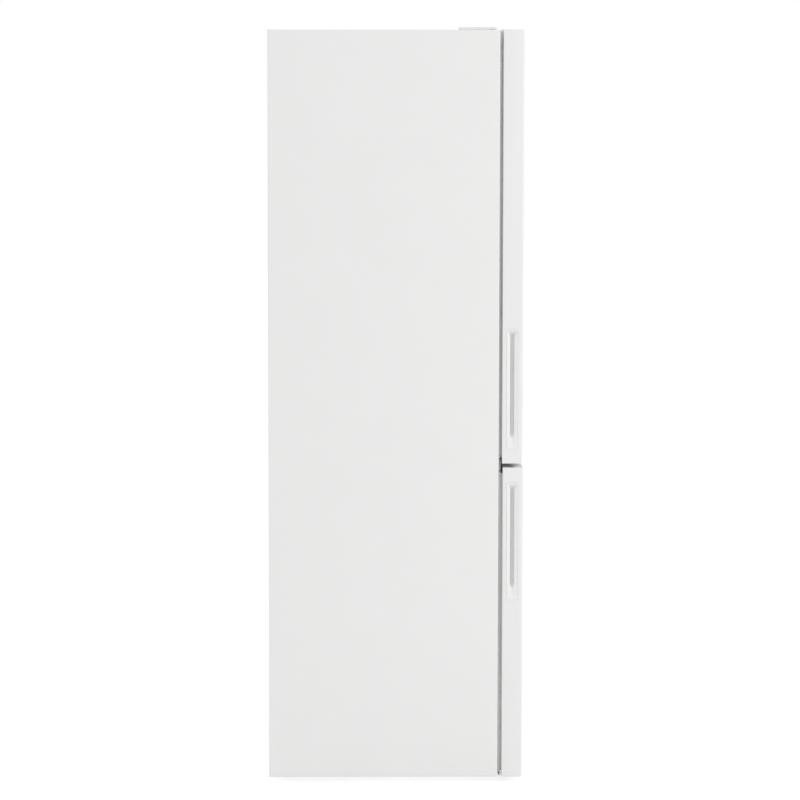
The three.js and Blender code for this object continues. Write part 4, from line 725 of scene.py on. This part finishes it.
def make_upper_door_liner():
    """The door's inner wall: a plate with a raised round-edged frame that the bins hang in."""
    x, y, z = spans("upper_door_liner")
    bin_x, _, bin_z = spans("door_bin_lower")
    plate = y[0] + LINER_WALL
    pitch = spans("door_bin_upper")[2][0] - spans("door_bin_middle")[2][0]
    frame_x = grown(bin_x, NEAR + DOOR_FRAME)
    inside = bin_z[0] - DOOR_FRAME_MARGIN
    frame_z = (inside - DOOR_FRAME, inside + 3 * pitch + DOOR_FRAME)

    def ring(inset, depth, radius):
        return panel("y", grown(frame_x, -inset), grown(frame_z, -inset), radius, depth)

    outer, inner, foot = 9 * MM, 5 * MM, 3 * MM
    corner, inner_corner = DOOR_FRAME_CORNER, 6 * MM
    rings = [panel("y", x, z, 2 * MM, depth) for depth in (y[0], plate)]
    rings += [ring(-foot, plate, corner + foot), ring(-foot / 3, plate + foot / 3, corner)]
    rings.append(ring(0, plate + foot, corner))
    for sine, versed in quarter(6):
        rings.append(ring(outer * versed, y[1] - outer * (1 - sine), corner - outer * versed * 0.6))
    for sine, versed in quarter(5):
        rise = inner * (1 - sine)
        rings.append(ring(DOOR_FRAME - rise, y[1] - inner * versed, inner_corner + rise))
    for out, depth in ((0, foot), (foot / 3, foot / 3), (foot, 0)):
        rings.append(ring(DOOR_FRAME + out, plate + depth, inner_corner))
    wall = Form().loft(rings)
    wall.done("upper_door_inner_wall", LINER, "upper_door", ["upper_door_liner"], angle=40)

    form = Form()
    for place in PLACES:
        base = spans(f"door_bin_{place}")[2][0] - NEAR
        for side in (-1, 1):
            outline = block(side * (bin_x[1] + NEAR), side * (bin_x[1] - 6 * MM), base - 8 * MM, base)
            form.bar(outline, "y", plate - 0.5 * MM, plate + 26 * MM)
    form.done("upper_door_bin_ledges", LINER, "upper_door", edge=1.2 * MM)


make_fridge_liner()
make_upper_door_liner()

# ---- drawers and bins

TUB_WALL = 2.5 * MM
TUB_CORNER = 14 * MM
TUB_FLANGE = 2.5 * MM
DIP = 26 * MM  # depth of the hand hollow in a drawer's front rim
DIP_HALF = 0.09
DIP_SLOPE = 14 * MM
BIN_CORNER = 12 * MM
BIN_FLANGE = 1.8 * MM
RIB_PITCH = 9 * MM
RIB_MARGIN = 26 * MM
FRONT_RIB = [(2.3, -1.6), (1.5, -0.7), (1.5, 0.7), (2.3, 1.6), (3, 0)]
TUB_FRONT_CUTS = 48


def make_tub(name, node, corner=TUB_CORNER, flange=TUB_FLANGE, dip=0.0):
    """A moulded tub with a rolled rim. dip lowers the middle of its front rim for the hand."""
    x, y, z = spans(node)
    inner = flange + TUB_WALL
    floor = z[0] + TUB_WALL
    # Inset from the outer edge, height, and whether the dip moves it.
    steps = [
        (flange + 2.0 * MM, z[0], 0), (flange + 0.7 * MM, z[0] + 0.5 * MM, 0), (flange, z[0] + 2 * MM, 0),
        (flange - 0.4 * MM, z[1] - 5 * MM, 1), (flange - 0.6 * MM, z[1] - 4.2 * MM, 1),
        (0.5 * MM, z[1] - 3.4 * MM, 1), (0, z[1] - 2.6 * MM, 1), (0, z[1] - 0.8 * MM, 1),
        (0.3 * MM, z[1] - 0.2 * MM, 1), (0.9 * MM, z[1], 1), (inner - 0.9 * MM, z[1], 1),
        (inner - 0.3 * MM, z[1] - 0.3 * MM, 1), (inner, z[1] - 1.2 * MM, 1), (inner + 0.4 * MM, floor + 3 * MM, 0),
        (inner + 1.3 * MM, floor + 0.8 * MM, 0), (inner + 3.2 * MM, floor, 0),
    ]
    rings = []
    for inset, height, moves in steps:
        span_y = grown(y, -inset)
        ring = []
        for u, v in rounded(grown(x, -inset), span_y, corner - inset * 0.6, cuts=TUB_FRONT_CUTS):
            hollow = 0
            if moves and abs(v - span_y[0]) < SMALLEST_RADIUS:
                hollow = dip * ease(0.5 - (abs(u) - DIP_HALF) / DIP_SLOPE / 2)
            ring.append((u, v, height - hollow))
        rings.append(ring)
    Form().loft(rings).done(name, CLEAR, BODY_OF[node], [node], angle=50)


def make_front_ribs(name, node, count, drop):
    """Fine raised lines across a drawer's front, below its hand hollow."""
    x, y, z = spans(node)
    form = Form()
    for i in range(count):
        outline = section(y[0], z[1] - drop - i * RIB_PITCH, FRONT_RIB)
        form.bar(outline, "x", *grown(x, -RIB_MARGIN))
    form.done(name, FROSTED, BODY_OF[node], edge=0.3 * MM)


for place in PLACES:
    make_tub(f"freezer_tub_{place}", f"freezer_drawer_{place}", dip=DIP)
    make_front_ribs(f"freezer_tub_{place}_ribs", f"freezer_drawer_{place}", 5, 52 * MM)
    make_tub(f"bin_tub_{place}", f"door_bin_{place}", BIN_CORNER, BIN_FLANGE)
make_tub("crisper_tub", "crisper_drawer", dip=DIP)
make_front_ribs("crisper_tub_ribs", "crisper_drawer", 4, 50 * MM)

# Section of the trim: how far inside the bin's outer edge, and how far above its rim.
BIN_TRIM = [
    (-0.2, -14.5), (-0.9, -15), (-1.4, -14.2), (-1.5, 0.2), (-1.1, 1.3), (-0.2, 1.8), (4.5, 1.8), (5.3, 1.3),
    (5.7, 0.2), (5.6, -7.5), (5.2, -8), (4.6, -7.6), (4.5, 0.2), (-0.2, 0.2),
]
TRIM_CORNER_STEPS = 9
# The points of the bin's outline that run along its inner side, with both of its corners.
INNER_RIM = slice(2 * TRIM_CORNER_STEPS + 5, 4 * TRIM_CORNER_STEPS + 1)


def make_bin_trim(place):
    """A white strip clipped over the inner rim of a door bin, from one of its corners to the other."""
    x, y, z = spans(f"door_bin_{place}")
    lines = []
    for inset, rise in BIN_TRIM:
        inset = inset * MM
        outline = rounded(grown(x, -inset), grown(y, -inset), BIN_CORNER - 0.6 * inset, TRIM_CORNER_STEPS)
        lines.append([(u, v, z[1] + rise * MM) for u, v in outline[INNER_RIM]])
    Form().loft(list(zip(*lines))).done(f"bin_trim_{place}", TRIM, "upper_door", angle=50)


for place in PLACES:
    make_bin_trim(place)

# ---- shelves


def make_shelf_trims(name):
    """White strips round a glass shelf: a nose in front, a stop at the back and a border along each side."""
    x, y, z = spans(name)
    under, top = z
    nose = section(y[0], under, [(-0.2, -7)])
    nose += section(y[0], top, [(-0.2, 0.1), (13, 0.1), (12, 1.5), (-3, 1.8), (-5.4, 0), (-6, -4)])
    nose += section(y[0], under, [(-4.6, -5), (-2.6, -7)])
    stop = section(y[1], top, [(-9, 0.1), (-7.5, 1.5), (-3, 2.4), (-1.6, 13), (0.6, 13), (1.2, 0.1)])
    form = Form().bar(nose, "x", *x).bar(stop, "x", *grown(x, -MM))
    form.done(f"{name}_trim_front_and_back", TRIM, edge=0.4 * MM)
    form = Form()
    for side in (-1, 1):
        edge = side * (x[1] - 0.3 * MM)
        border = section(edge, top, [(0, 0.1), (-9 * side, 0.1), (-8.2 * side, 1.3), (0, 1.5)])
        form.bar(border, "y", y[0] + 13.2 * MM, y[1] - 9.2 * MM)
    form.done(f"{name}_trim_sides", TRIM, edge=0.3 * MM)


for shelf in SHELVES:
    make_shelf_trims(shelf)

# ---- plugs, screws and small fittings


def screw_profile(radius, height):
    """A pan head that sinks into a recess at its middle."""
    return [
        (AXIS_RADIUS, -height), (radius, -height), (radius, 0.25 * height), (0.93 * radius, 0.55 * height),
        (0.75 * radius, 0.85 * height), (0.45 * radius, height), (0.3 * radius, 0.97 * height),
        (0.24 * radius, 0.45 * height), (AXIS_RADIUS, 0.4 * height),
    ]


def dome_profile(radius, height):
    """A flat flanged plug with a domed middle."""
    profile = [(AXIS_RADIUS, -1.5 * MM), (radius, -1.5 * MM), (radius, 0.25 * height), (0.95 * radius, 0.45 * height)]
    for sine, versed in quarter(8)[1:8]:
        profile.append((0.9 * radius * (1 - versed), height * (0.45 + 0.55 * sine)))
    return profile + [(AXIS_RADIUS, height)]


def make_screws(name, places, axis, radius, height):
    form = Form()
    for place in places:
        form.turned(screw_profile(radius, height), place, axis, 24)
    form.done(name, SCREW, angle=40)


def make_plugs(name, places, axis, body, radius, height, finish=PLASTIC):
    form = Form()
    for place in places:
        form.turned(dome_profile(radius, height), place, axis, 32)
    form.done(name, finish, body, angle=50)


hinge = next(joint for joint in frame["joints"] if joint["name"] == "upper_door_hinge")
HINGE_X, HINGE_Y = hinge["pos_m"][0], hinge["pos_m"][1]
_, (CABINET_FRONT, CABINET_BACK), (_, CABINET_TOP) = spans("side_panel_left")
LOWER_TOP = spans("lower_door_cap_top")[2][1]
UPPER_BOTTOM = spans("upper_door_cap_bottom")[2][0]
SPLIT = mid((LOWER_TOP, UPPER_BOTTOM))
MIDDLE_HINGE_X = spans("middle_hinge")[0]

# Plugs in the hinge holes on the doors' other side: name, y, z, axis, door, radius and height.
for name, y, z, axis, door, radius, height in (
    ("lower_door_hole_plugs", HINGE_Y, LOWER_TOP, "Z", "lower_door", 7.5, 2.4),
    ("lower_door_small_plug", CABINET_FRONT - 14 * MM, LOWER_TOP, "Z", "lower_door", 2.6, 1.2),
    ("upper_door_hole_plugs", HINGE_Y, UPPER_BOTTOM, "-Z", "upper_door", 7.5, 2.2),
    ("lower_door_bottom_plug", HINGE_Y, spans("lower_door_cap_bottom")[2][0], "-Z", "lower_door", 7.5, 2),
):
    make_plugs(name, [(-HINGE_X, y, z)], axis, door, radius * MM, height * MM)


def make_middle_hinge_screws():
    places = [
        (MIDDLE_HINGE_X[0] + along * MM, CABINET_FRONT - 2.8 * MM, SPLIT + rise * MM)
        for along, rise in ((10, 9), (10, -9), (30, 9), (30, -9))
    ]
    make_screws("middle_hinge_screws", places, "-Y", 3.6 * MM, 1.5 * MM)


def make_blank_plate():
    """A grey cover where the middle hinge would sit if the doors opened the other way. Its dark grey is also painted
    shade at the left end of the gap between the doors.
    """
    x, z = (-MIDDLE_HINGE_X[1], -MIDDLE_HINGE_X[0]), around(SPLIT, 30 * MM)
    rise = 5 * MM
    rings = [
        panel("y", grown(x, -inset), grown(z, -inset), 3 * MM - inset, CABINET_FRONT - depth)
        for inset, depth in ((0, 0), (0, rise - 1.2 * MM), (0.35 * MM, rise - 0.35 * MM), (1.2 * MM, rise))
    ]
    Form().loft(rings).done("crossbeam_blank_plate", GREY, angle=50)
    caps = [(x[0] + along * MM, CABINET_FRONT - rise, SPLIT) for along in (14, 34, 54)]
    make_plugs("crossbeam_blank_plate_caps", caps, "-Y", "cabinet", 4 * MM, 0.8 * MM, GREY)


def make_bottom_hinge_screws():
    x, _, z = spans("bottom_hinge")
    places = [(x[0] + along * MM, CABINET_FRONT + 42 * MM, z[0]) for along in (12, 29, 46)]
    make_screws("bottom_hinge_screws", places, "-Z", 4.2 * MM, 1.6 * MM)


COVER_SHELL = 6.2 * MM
COVER_EDGE = 2.2 * MM


def make_hinge_cover():
    """A shell with rounded upper edges that stands a little over a narrower base, and its screw's cap."""
    x, y, z = spans("top_hinge_cover")
    low = z[1] - COVER_SHELL

    def ring(inset, level):
        return panel("z", grown(x, -inset), grown(y, -inset), 6 * MM - inset, level)

    rings = [ring(0.4 * MM, low), ring(0, low + 0.4 * MM)]
    rings += [ring(COVER_EDGE * versed, z[1] - COVER_EDGE * (1 - sine)) for sine, versed in quarter(6)]
    Form().loft(rings).done("hinge_cover_shell", PLASTIC, "cabinet", ["top_hinge_cover"], angle=40)
    # The base's grey is painted shade: darker than the shell, it stands for the shadow line under the shell.
    base = [ring(1.8 * MM, level) for level in (z[0], low)]
    Form().loft(base).done("hinge_cover_base", STRIP, angle=40)
    cap = (mid(x), y[1] - 20 * MM, z[1] - 1.3 * MM)
    make_plugs("hinge_cover_screw_cap", [cap], "Z", "cabinet", 6 * MM, 1.2 * MM)


def make_top_plugs():
    """Plugs in the holes of the top hinge's other place."""
    holes = ((4, 28), (22, 42), (40, 28))
    places = [(-HINGE_X + across * MM, CABINET_FRONT + back * MM, CABINET_TOP) for across, back in holes]
    make_plugs("top_hole_plugs", places, "Z", "cabinet", 4.5 * MM, 0.5 * MM)


make_middle_hinge_screws()
make_blank_plate()
make_bottom_hinge_screws()
make_hinge_cover()
make_top_plugs()

# ---- back of the cabinet

HEAD = 0.9 * MM  # how far the sheets of the back are sunk, so that screw heads don't stand out
SHEET = 0.5 * MM
BEADS = [column * 116 * MM for column in (-2, -1, 0, 1, 2)]
BEAD_HALF = 3.6 * MM
BEAD_RISE = 0.85 * MM
BEAD_ENDS = (0.36, 1.77)
BEAD_STEPS = [-1, -0.8, -0.6, -0.4, -0.2, 0, 0.2, 0.4, 0.6, 0.8, 1]
VENT_COLUMNS = [around((column - 2.5) * 76 * MM, 58 * MM) for column in range(6)]
INLET_HALF = 5.5 * MM
VENT_ROW_PITCH = 28 * MM
VENT_HEIGHT = 7 * MM
BACK_SCREW_ROWS = 8
SUNK_FACE = CABINET_BACK - HEAD

opening = next(box for box in frame["record"]["physics"]["openings"] if box["name"] == "mains_lead_inlet")
INLET = (Vector(opening["box_m"][0]) + Vector(opening["box_m"][1])) / 2


def bead_rise(u, v):
    """How far the pressed upright beads lift the sheet at a place."""
    sideways = min(abs(u - bead) for bead in BEADS)
    beyond = max(BEAD_ENDS[0] - v, v - BEAD_ENDS[1], 0)
    return BEAD_RISE * ease(1.2 * (1 - math.hypot(sideways, beyond) / BEAD_HALF))


def make_sheet(name, node, across, up, holes, finish, edge, rise=lambda u, v: 0):
    """A thin sheet on a grid across and up. Each hole is an x span and a z span."""
    form = Form()
    corners = [[form.bm.verts.new((u, SUNK_FACE + rise(u, v), v)) for u in across] for v in up]
    for row in range(len(up) - 1):
        for column in range(len(across) - 1):
            u, v = mid(across[column:column + 2]), mid(up[row:row + 2])
            if any(a[0] < u < a[1] and b[0] < v < b[1] for a, b in holes):
                continue
            low, high = corners[row], corners[row + 1]
            form.bm.faces.new((low[column], low[column + 1], high[column + 1], high[column]))
    depth = bmesh.ops.extrude_face_region(form.bm, geom=form.bm.faces[:])
    rear = [part for part in depth["geom"] if isinstance(part, bmesh.types.BMVert)]
    bmesh.ops.translate(form.bm, verts=rear, vec=(0, -SHEET, 0))
    form.done(name, finish, "cabinet", [node], angle=40, edge=edge)


def make_back_sheet():
    x, _, z = spans("back_panel")
    across = [*x, *(bead + step * BEAD_HALF for bead in BEADS for step in BEAD_STEPS)]
    up = [*z, *(end + step * BEAD_HALF for end in BEAD_ENDS for step in BEAD_STEPS)]
    make_sheet("back_sheet", "back_panel", sorted(across), sorted(up), [], BACK_PAINT, 0, bead_rise)


def make_machine_room_cover():
    """A sheet with rows of vents and the hole for the mains lead's bush."""
    x, _, z = spans("rear_cover")
    rows = [around(mid(z) + row * VENT_ROW_PITCH, VENT_HEIGHT) for row in (-1, 0, 1)]
    holes = [(column, row) for column in VENT_COLUMNS for row in rows]
    holes.append((around(INLET.x, 2 * INLET_HALF), around(INLET.z, 2 * INLET_HALF)))
    across = sorted({*x, *(end for hole in holes for end in hole[0])})
    up = sorted({*z, *(end for hole in holes for end in hole[1])})
    make_sheet("machine_room_cover", "rear_cover", across, up, holes, ZINC, 0.15 * MM)


def make_back_screws():
    """The screws of both sheets, and the plugs of the holes that the foam came in by."""
    # Node, number of screws along a side, distance from its side, lower end and upper end, and radius.
    for node, count, inside, foot, head, radius in (
        ("back_panel", BACK_SCREW_ROWS + 1, 7, 30, 20, 3.4), ("rear_cover", 3, 9, 12, 12, 3.6),
    ):
        x, _, z = spans(node)
        low, high = z[0] + foot * MM, z[1] - head * MM
        heights = [low + (high - low) * i / (count - 1) for i in range(count)]
        places = [(side * (x[1] - inside * MM), SUNK_FACE, height) for side in (-1, 1) for height in heights]
        make_screws(f"{node}_screws", places, "Y", radius * MM, HEAD)
    ports = [(side * 0.16, SUNK_FACE, 1.42) for side in (-1, 1)]
    make_plugs("foam_filling_plugs", ports, "Y", "cabinet", 13 * MM, HEAD, GREY)


def make_inlet_bush():
    """A rubber bush that lines the hole for the mains lead."""
    profile = [(4.35, 303.5), (4.35, 311.9), (4.9, 312.2), (8.2, 312.2), (8.7, 311.6), (8.7, 309.5)]
    profile += [(4.4, 309.5), (4.4, 303.5)]
    bush = Form().turned(section(0, 0, profile), (INLET.x, 0, INLET.z), "Y", 32, closed=True)
    bush.done("inlet_bush", BLACK_RUBBER, angle=40)


make_back_sheet()
make_machine_room_cover()
make_back_screws()
make_inlet_bush()

# ---- feet, rollers and machinery

FOOT_PAD = 8 * MM
FOOT_STEM = 5 * MM
THREAD_PITCH = 1.5 * MM
THREAD_DEPTH = 0.6 * MM
ROLLER_BORE = 3.4 * MM


def make_foot(side):
    x, y, z = spans(f"foot_{side}")
    radius = size(x) / 2
    profile = [(AXIS_RADIUS, 0), (radius - 2 * MM, 0), (radius - 0.6 * MM, 0.5 * MM), (radius, 1.6 * MM)]
    profile += [(radius, FOOT_PAD - 2 * MM), (radius - 0.5 * MM, FOOT_PAD - 0.6 * MM), (radius - 2 * MM, FOOT_PAD)]
    profile += [(FOOT_STEM, FOOT_PAD)]
    for i in range(int((z[1] - FOOT_PAD) / THREAD_PITCH)):
        height = FOOT_PAD + (i + 0.5) * THREAD_PITCH
        profile += [(FOOT_STEM, height - 0.35 * MM), (FOOT_STEM - THREAD_DEPTH, height + 0.25 * MM)]
    profile += [(FOOT_STEM - THREAD_DEPTH, z[1]), (AXIS_RADIUS, z[1])]
    foot = Form().turned(profile, (mid(x), mid(y), 0), steps=40)
    foot.done(f"levelling_foot_{side}", DARK, f"{side}_foot", [f"foot_{side}"], angle=50)


def make_roller(side):
    x, y, z = spans(f"roller_{side}")
    radius, half = size(z) / 2, size(x) / 2
    # One side of the roller, as radius and share of its half width.
    face = [(ROLLER_BORE, 0.0), (ROLLER_BORE, 0.97), (4.6 * MM, 1.0), (6.4 * MM, 1.0), (7 * MM, 0.84)]
    face += [(radius - 3 * MM, 0.84), (radius - 2.4 * MM, 1.0), (radius - 0.9 * MM, 1.0)]
    face += [(radius - 0.2 * MM, 0.94), (radius, 0.86)]
    profile = [(r, -share * half) for r, share in face] + [(radius - 0.01 * MM, 0)]
    profile += [(r, share * half) for r, share in reversed(face[1:])]
    roller = Form().turned(profile, (mid(x), mid(y), mid(z)), "X", closed=True)
    roller.done(f"transport_roller_{side}", DARK, f"{side}_roller", [f"roller_{side}"])


def make_compressor():
    """A welded steel shell on a foot plate with four rubber grommets."""
    x, y, z = spans("compressor")
    radius = size(y) / 2 - 4 * MM
    centre_x, centre_y = x[1] - 4 * MM - radius, mid(y)
    base, top = z[0] + 14 * MM, z[1]
    seam = mid((base, top))
    lower_edge, upper_edge = 14 * MM, 34 * MM
    profile = [(AXIS_RADIUS, base - seam)]
    for sine, versed in quarter(5):
        profile.append((radius - lower_edge * (1 - sine), base - seam + lower_edge * versed))
    profile += section(radius, 0, [(0, -0.1), (2.4, 0), (3.9, 0.5), (3.9, 3.5), (2.4, 4), (0, 4.1)])
    for sine, versed in quarter(8):
        profile.append((radius - upper_edge * versed, top - seam - upper_edge * (1 - sine)))
    profile.append((AXIS_RADIUS, top - seam))
    form = Form().turned(profile, (centre_x, centre_y, seam), steps=72)
    plate = rounded(around(centre_x, 150 * MM), around(centre_y, 112 * MM), 12 * MM)
    form.bar(plate, "z", base - 3 * MM, base + MM)
    start = radius * 0.3
    stub = [(AXIS_RADIUS, start), (6 * MM, start), (6 * MM, -9 * MM), (5 * MM, -9.9 * MM), (AXIS_RADIUS, -9.9 * MM)]
    form.turned(stub, (centre_x - radius, centre_y, top - 37 * MM), "X", 24)
    form.done("compressor_shell", BLACK_PAINT, "cabinet", ["compressor"], angle=32)

    profile = [(0.1, 0), (9, 0), (10, 1), (10, 4), (7.4, 5), (7.4, 7), (10, 8), (10, 10), (9, 10.9), (0.1, 10.9)]
    grommets = Form()
    for across in (-65 * MM, 65 * MM):
        for along in (-46 * MM, 46 * MM):
            grommets.turned(section(0, 0, profile), (centre_x + across, centre_y + along, z[0]), steps=28)
    grommets.done("compressor_grommets", BLACK_RUBBER, angle=40)


def make_discharge_pipe():
    """A copper pipe along a smooth curve that turns up once."""
    x, y, z = spans("discharge_pipe")
    radius = 3.2 * MM
    low, corner = z[0] + radius, x[0] + radius
    bend = 24 * MM
    kappa = 0.55 * bend  # length of the handles that make a quarter turn round
    # Each point is x and z, with the same for the handle before it and the handle after it.
    points = [
        (x[1], low, x[1], low, x[1] - 4 * MM, low),
        (corner + bend, low, corner + bend + 6 * MM, low, corner + bend - kappa, low),
        (corner, low + bend, corner, low + bend - kappa, corner, low + bend + 8 * MM),
        (corner, z[1], corner, z[1] - 8 * MM, corner, z[1]),
    ]
    curve = bpy.data.curves.new("discharge_tube", "CURVE")
    curve.dimensions = "3D"
    curve.bevel_depth = radius
    curve.bevel_resolution = 6
    curve.use_fill_caps = True
    curve.resolution_u = 16
    spline = curve.splines.new("BEZIER")
    spline.bezier_points.add(len(points) - 1)
    for point, place in zip(spline.bezier_points, points):
        point.co, point.handle_left, point.handle_right = [
            (place[i], mid(y), place[i + 1]) for i in (0, 2, 4)
        ]
    hand_over(linked("discharge_tube", curve), COPPER, "cabinet", ["discharge_pipe"])


for side in ("left", "right"):
    make_foot(side)
    make_roller(side)
make_compressor()
make_discharge_pipe()

# ---- controls, light and fan guard

FLUTES = 24
FLUTE_DEPTH = 0.5 * MM
POINTS_PER_FLUTE = 6
SCALE_MARKS = 7


def make_knob():
    """A fluted knob with a finger bar across it and a white mark."""
    x, y, z = spans("control_knob")
    centre_x, centre_z = mid(x), mid(z)
    radius = size(x) / 2
    face = y[0] + 6 * MM
    rear = spans("control_housing")[1][0] - NEAR

    def ring(inset, along, fluted):
        points = []
        for i, (across, up) in enumerate(circle(FLUTES * POINTS_PER_FLUTE)):
            flute = FLUTE_DEPTH * (0.5 - 0.5 * math.cos(2 * math.pi * i / POINTS_PER_FLUTE)) if fluted else 0
            reach = radius - inset * MM - flute
            points.append((centre_x + reach * across, along, centre_z + reach * up))
        return points

    form = Form().loft([
        ring(0, rear, False), ring(0, rear - 2 * MM, False), ring(0.4, rear - 2.4 * MM, True),
        ring(0.7, face + 1.6 * MM, True), ring(1.4, face + 0.4 * MM, False), ring(2.4, face, False),
    ])
    bar = rounded(around(centre_x, 5 * MM), around(centre_z, 24 * MM), 2.4 * MM)
    form.loft([
        [(u, face + 2 * MM, v) for u, v in bar], [(u, y[0] + MM, v) for u, v in bar],
        [(centre_x + (u - centre_x) * 0.7, y[0], centre_z + (v - centre_z) * 0.95) for u, v in bar],
    ])
    shaft = section(0, 0, [(0.1, 0), (4, 0), (4, 9.5), (0.1, 9.5)])
    form.turned(shaft, (centre_x, rear, centre_z), "Y", 24)
    form.done("temperature_knob", GREY, "thermostat_knob", ["control_knob"], angle=40)
    mark = rounded(around(centre_x, 1.2 * MM), (centre_z + 3 * MM, centre_z + 10.5 * MM), 0.5 * MM)
    Form().bar(mark, "y", y[0] - 0.2 * MM, y[0] + 0.6 * MM).done("knob_mark", TRIM, "thermostat_knob")


def make_knob_scale():
    """Marks round the knob, each longer than the one before."""
    x, _, z = spans("control_knob")
    housing = spans("control_housing")[1][0]
    ticks = Form()
    for i in range(SCALE_MARKS):
        angle = math.radians(210 - i * 40)
        direction = Vector((math.cos(angle), 0, math.sin(angle)))
        side = Vector((-direction.z, 0, direction.x)) * 0.35 * MM
        start = Vector((mid(x), 0, mid(z))) + direction * (size(x) / 2 + 1.2 * MM)
        end = start + direction * (1.6 + 0.25 * i) * MM
        corners = (start - side, start + side, end + side, end - side)
        ticks.loft([[(c.x, depth, c.z) for c in corners] for depth in (housing + 0.3 * MM, housing - 0.25 * MM)])
    ticks.done("knob_scale", GREY, angle=30)


LENS_RIBS = 16
LENS_RIB_STEPS = 8
LENS_RELIEF = 0.6 * MM
LENS_MARGIN = 3 * MM


def make_lamp_cover():
    """A frosted cover with rounded ribs across it."""
    x, y, z = spans("lamp_lens")
    face, edge = z[0] + LENS_RELIEF, z[0] + 2 * LENS_RELIEF
    start = y[0] + LENS_MARGIN
    pitch = (size(y) - 2 * LENS_MARGIN) / LENS_RIBS
    outline = [(y[0], z[1]), (y[0], edge), (y[0] + 0.8 * MM, face), (start, face)]
    for i in range(1, LENS_RIBS * LENS_RIB_STEPS + 1):
        angle = i % LENS_RIB_STEPS / LENS_RIB_STEPS * math.pi
        outline.append((start + pitch * i / LENS_RIB_STEPS, face - LENS_RELIEF * math.sin(angle)))
    outline += [(y[1] - 0.8 * MM, face), (y[1], edge), (y[1], z[1])]
    Form().bar(outline, "x", *x).done("lamp_cover", FROSTED, "cabinet", ["lamp_lens"], angle=30)


GUARD_RINGS = (10, 20, 30, 40, 51.5)
GUARD_WIRE = ((-1.0, -0.2), (0.0, -1.1), (1.0, -0.2), (0.0, 0.7))
GUARD_SPOKES = 8
GUARD_SPOKE_ENDS = (9, 54)
GUARD_SPOKE_DEPTHS = (-1.2 * MM, 0.4 * MM)


def make_fan_guard():
    """Rings and spokes over the fan's opening in the freezer's duct panel."""
    fan_x, _, fan_z = spans("fan_impeller")
    centre = Vector((mid(fan_x), spans("freezer_duct_panel")[1][0], mid(fan_z)))
    form = Form()
    for radius in GUARD_RINGS:
        form.turned(section(radius * MM, 0, GUARD_WIRE), centre, "Y", 56, closed=True)
    front, rear = [Vector((0, depth, 0)) for depth in GUARD_SPOKE_DEPTHS]
    for across, up in circle(GUARD_SPOKES):
        out = Vector((across, 0, up))
        side = Vector((-up, 0, across)) * 1.1 * MM
        hubs = [centre + out * reach * MM for reach in GUARD_SPOKE_ENDS]
        form.loft([[hub - side + front, hub + side + front, hub + side + rear, hub - side + rear] for hub in hubs])
    form.done("fan_guard", LINER, angle=40)


make_knob()
make_knob_scale()
make_lamp_cover()
make_fan_guard()
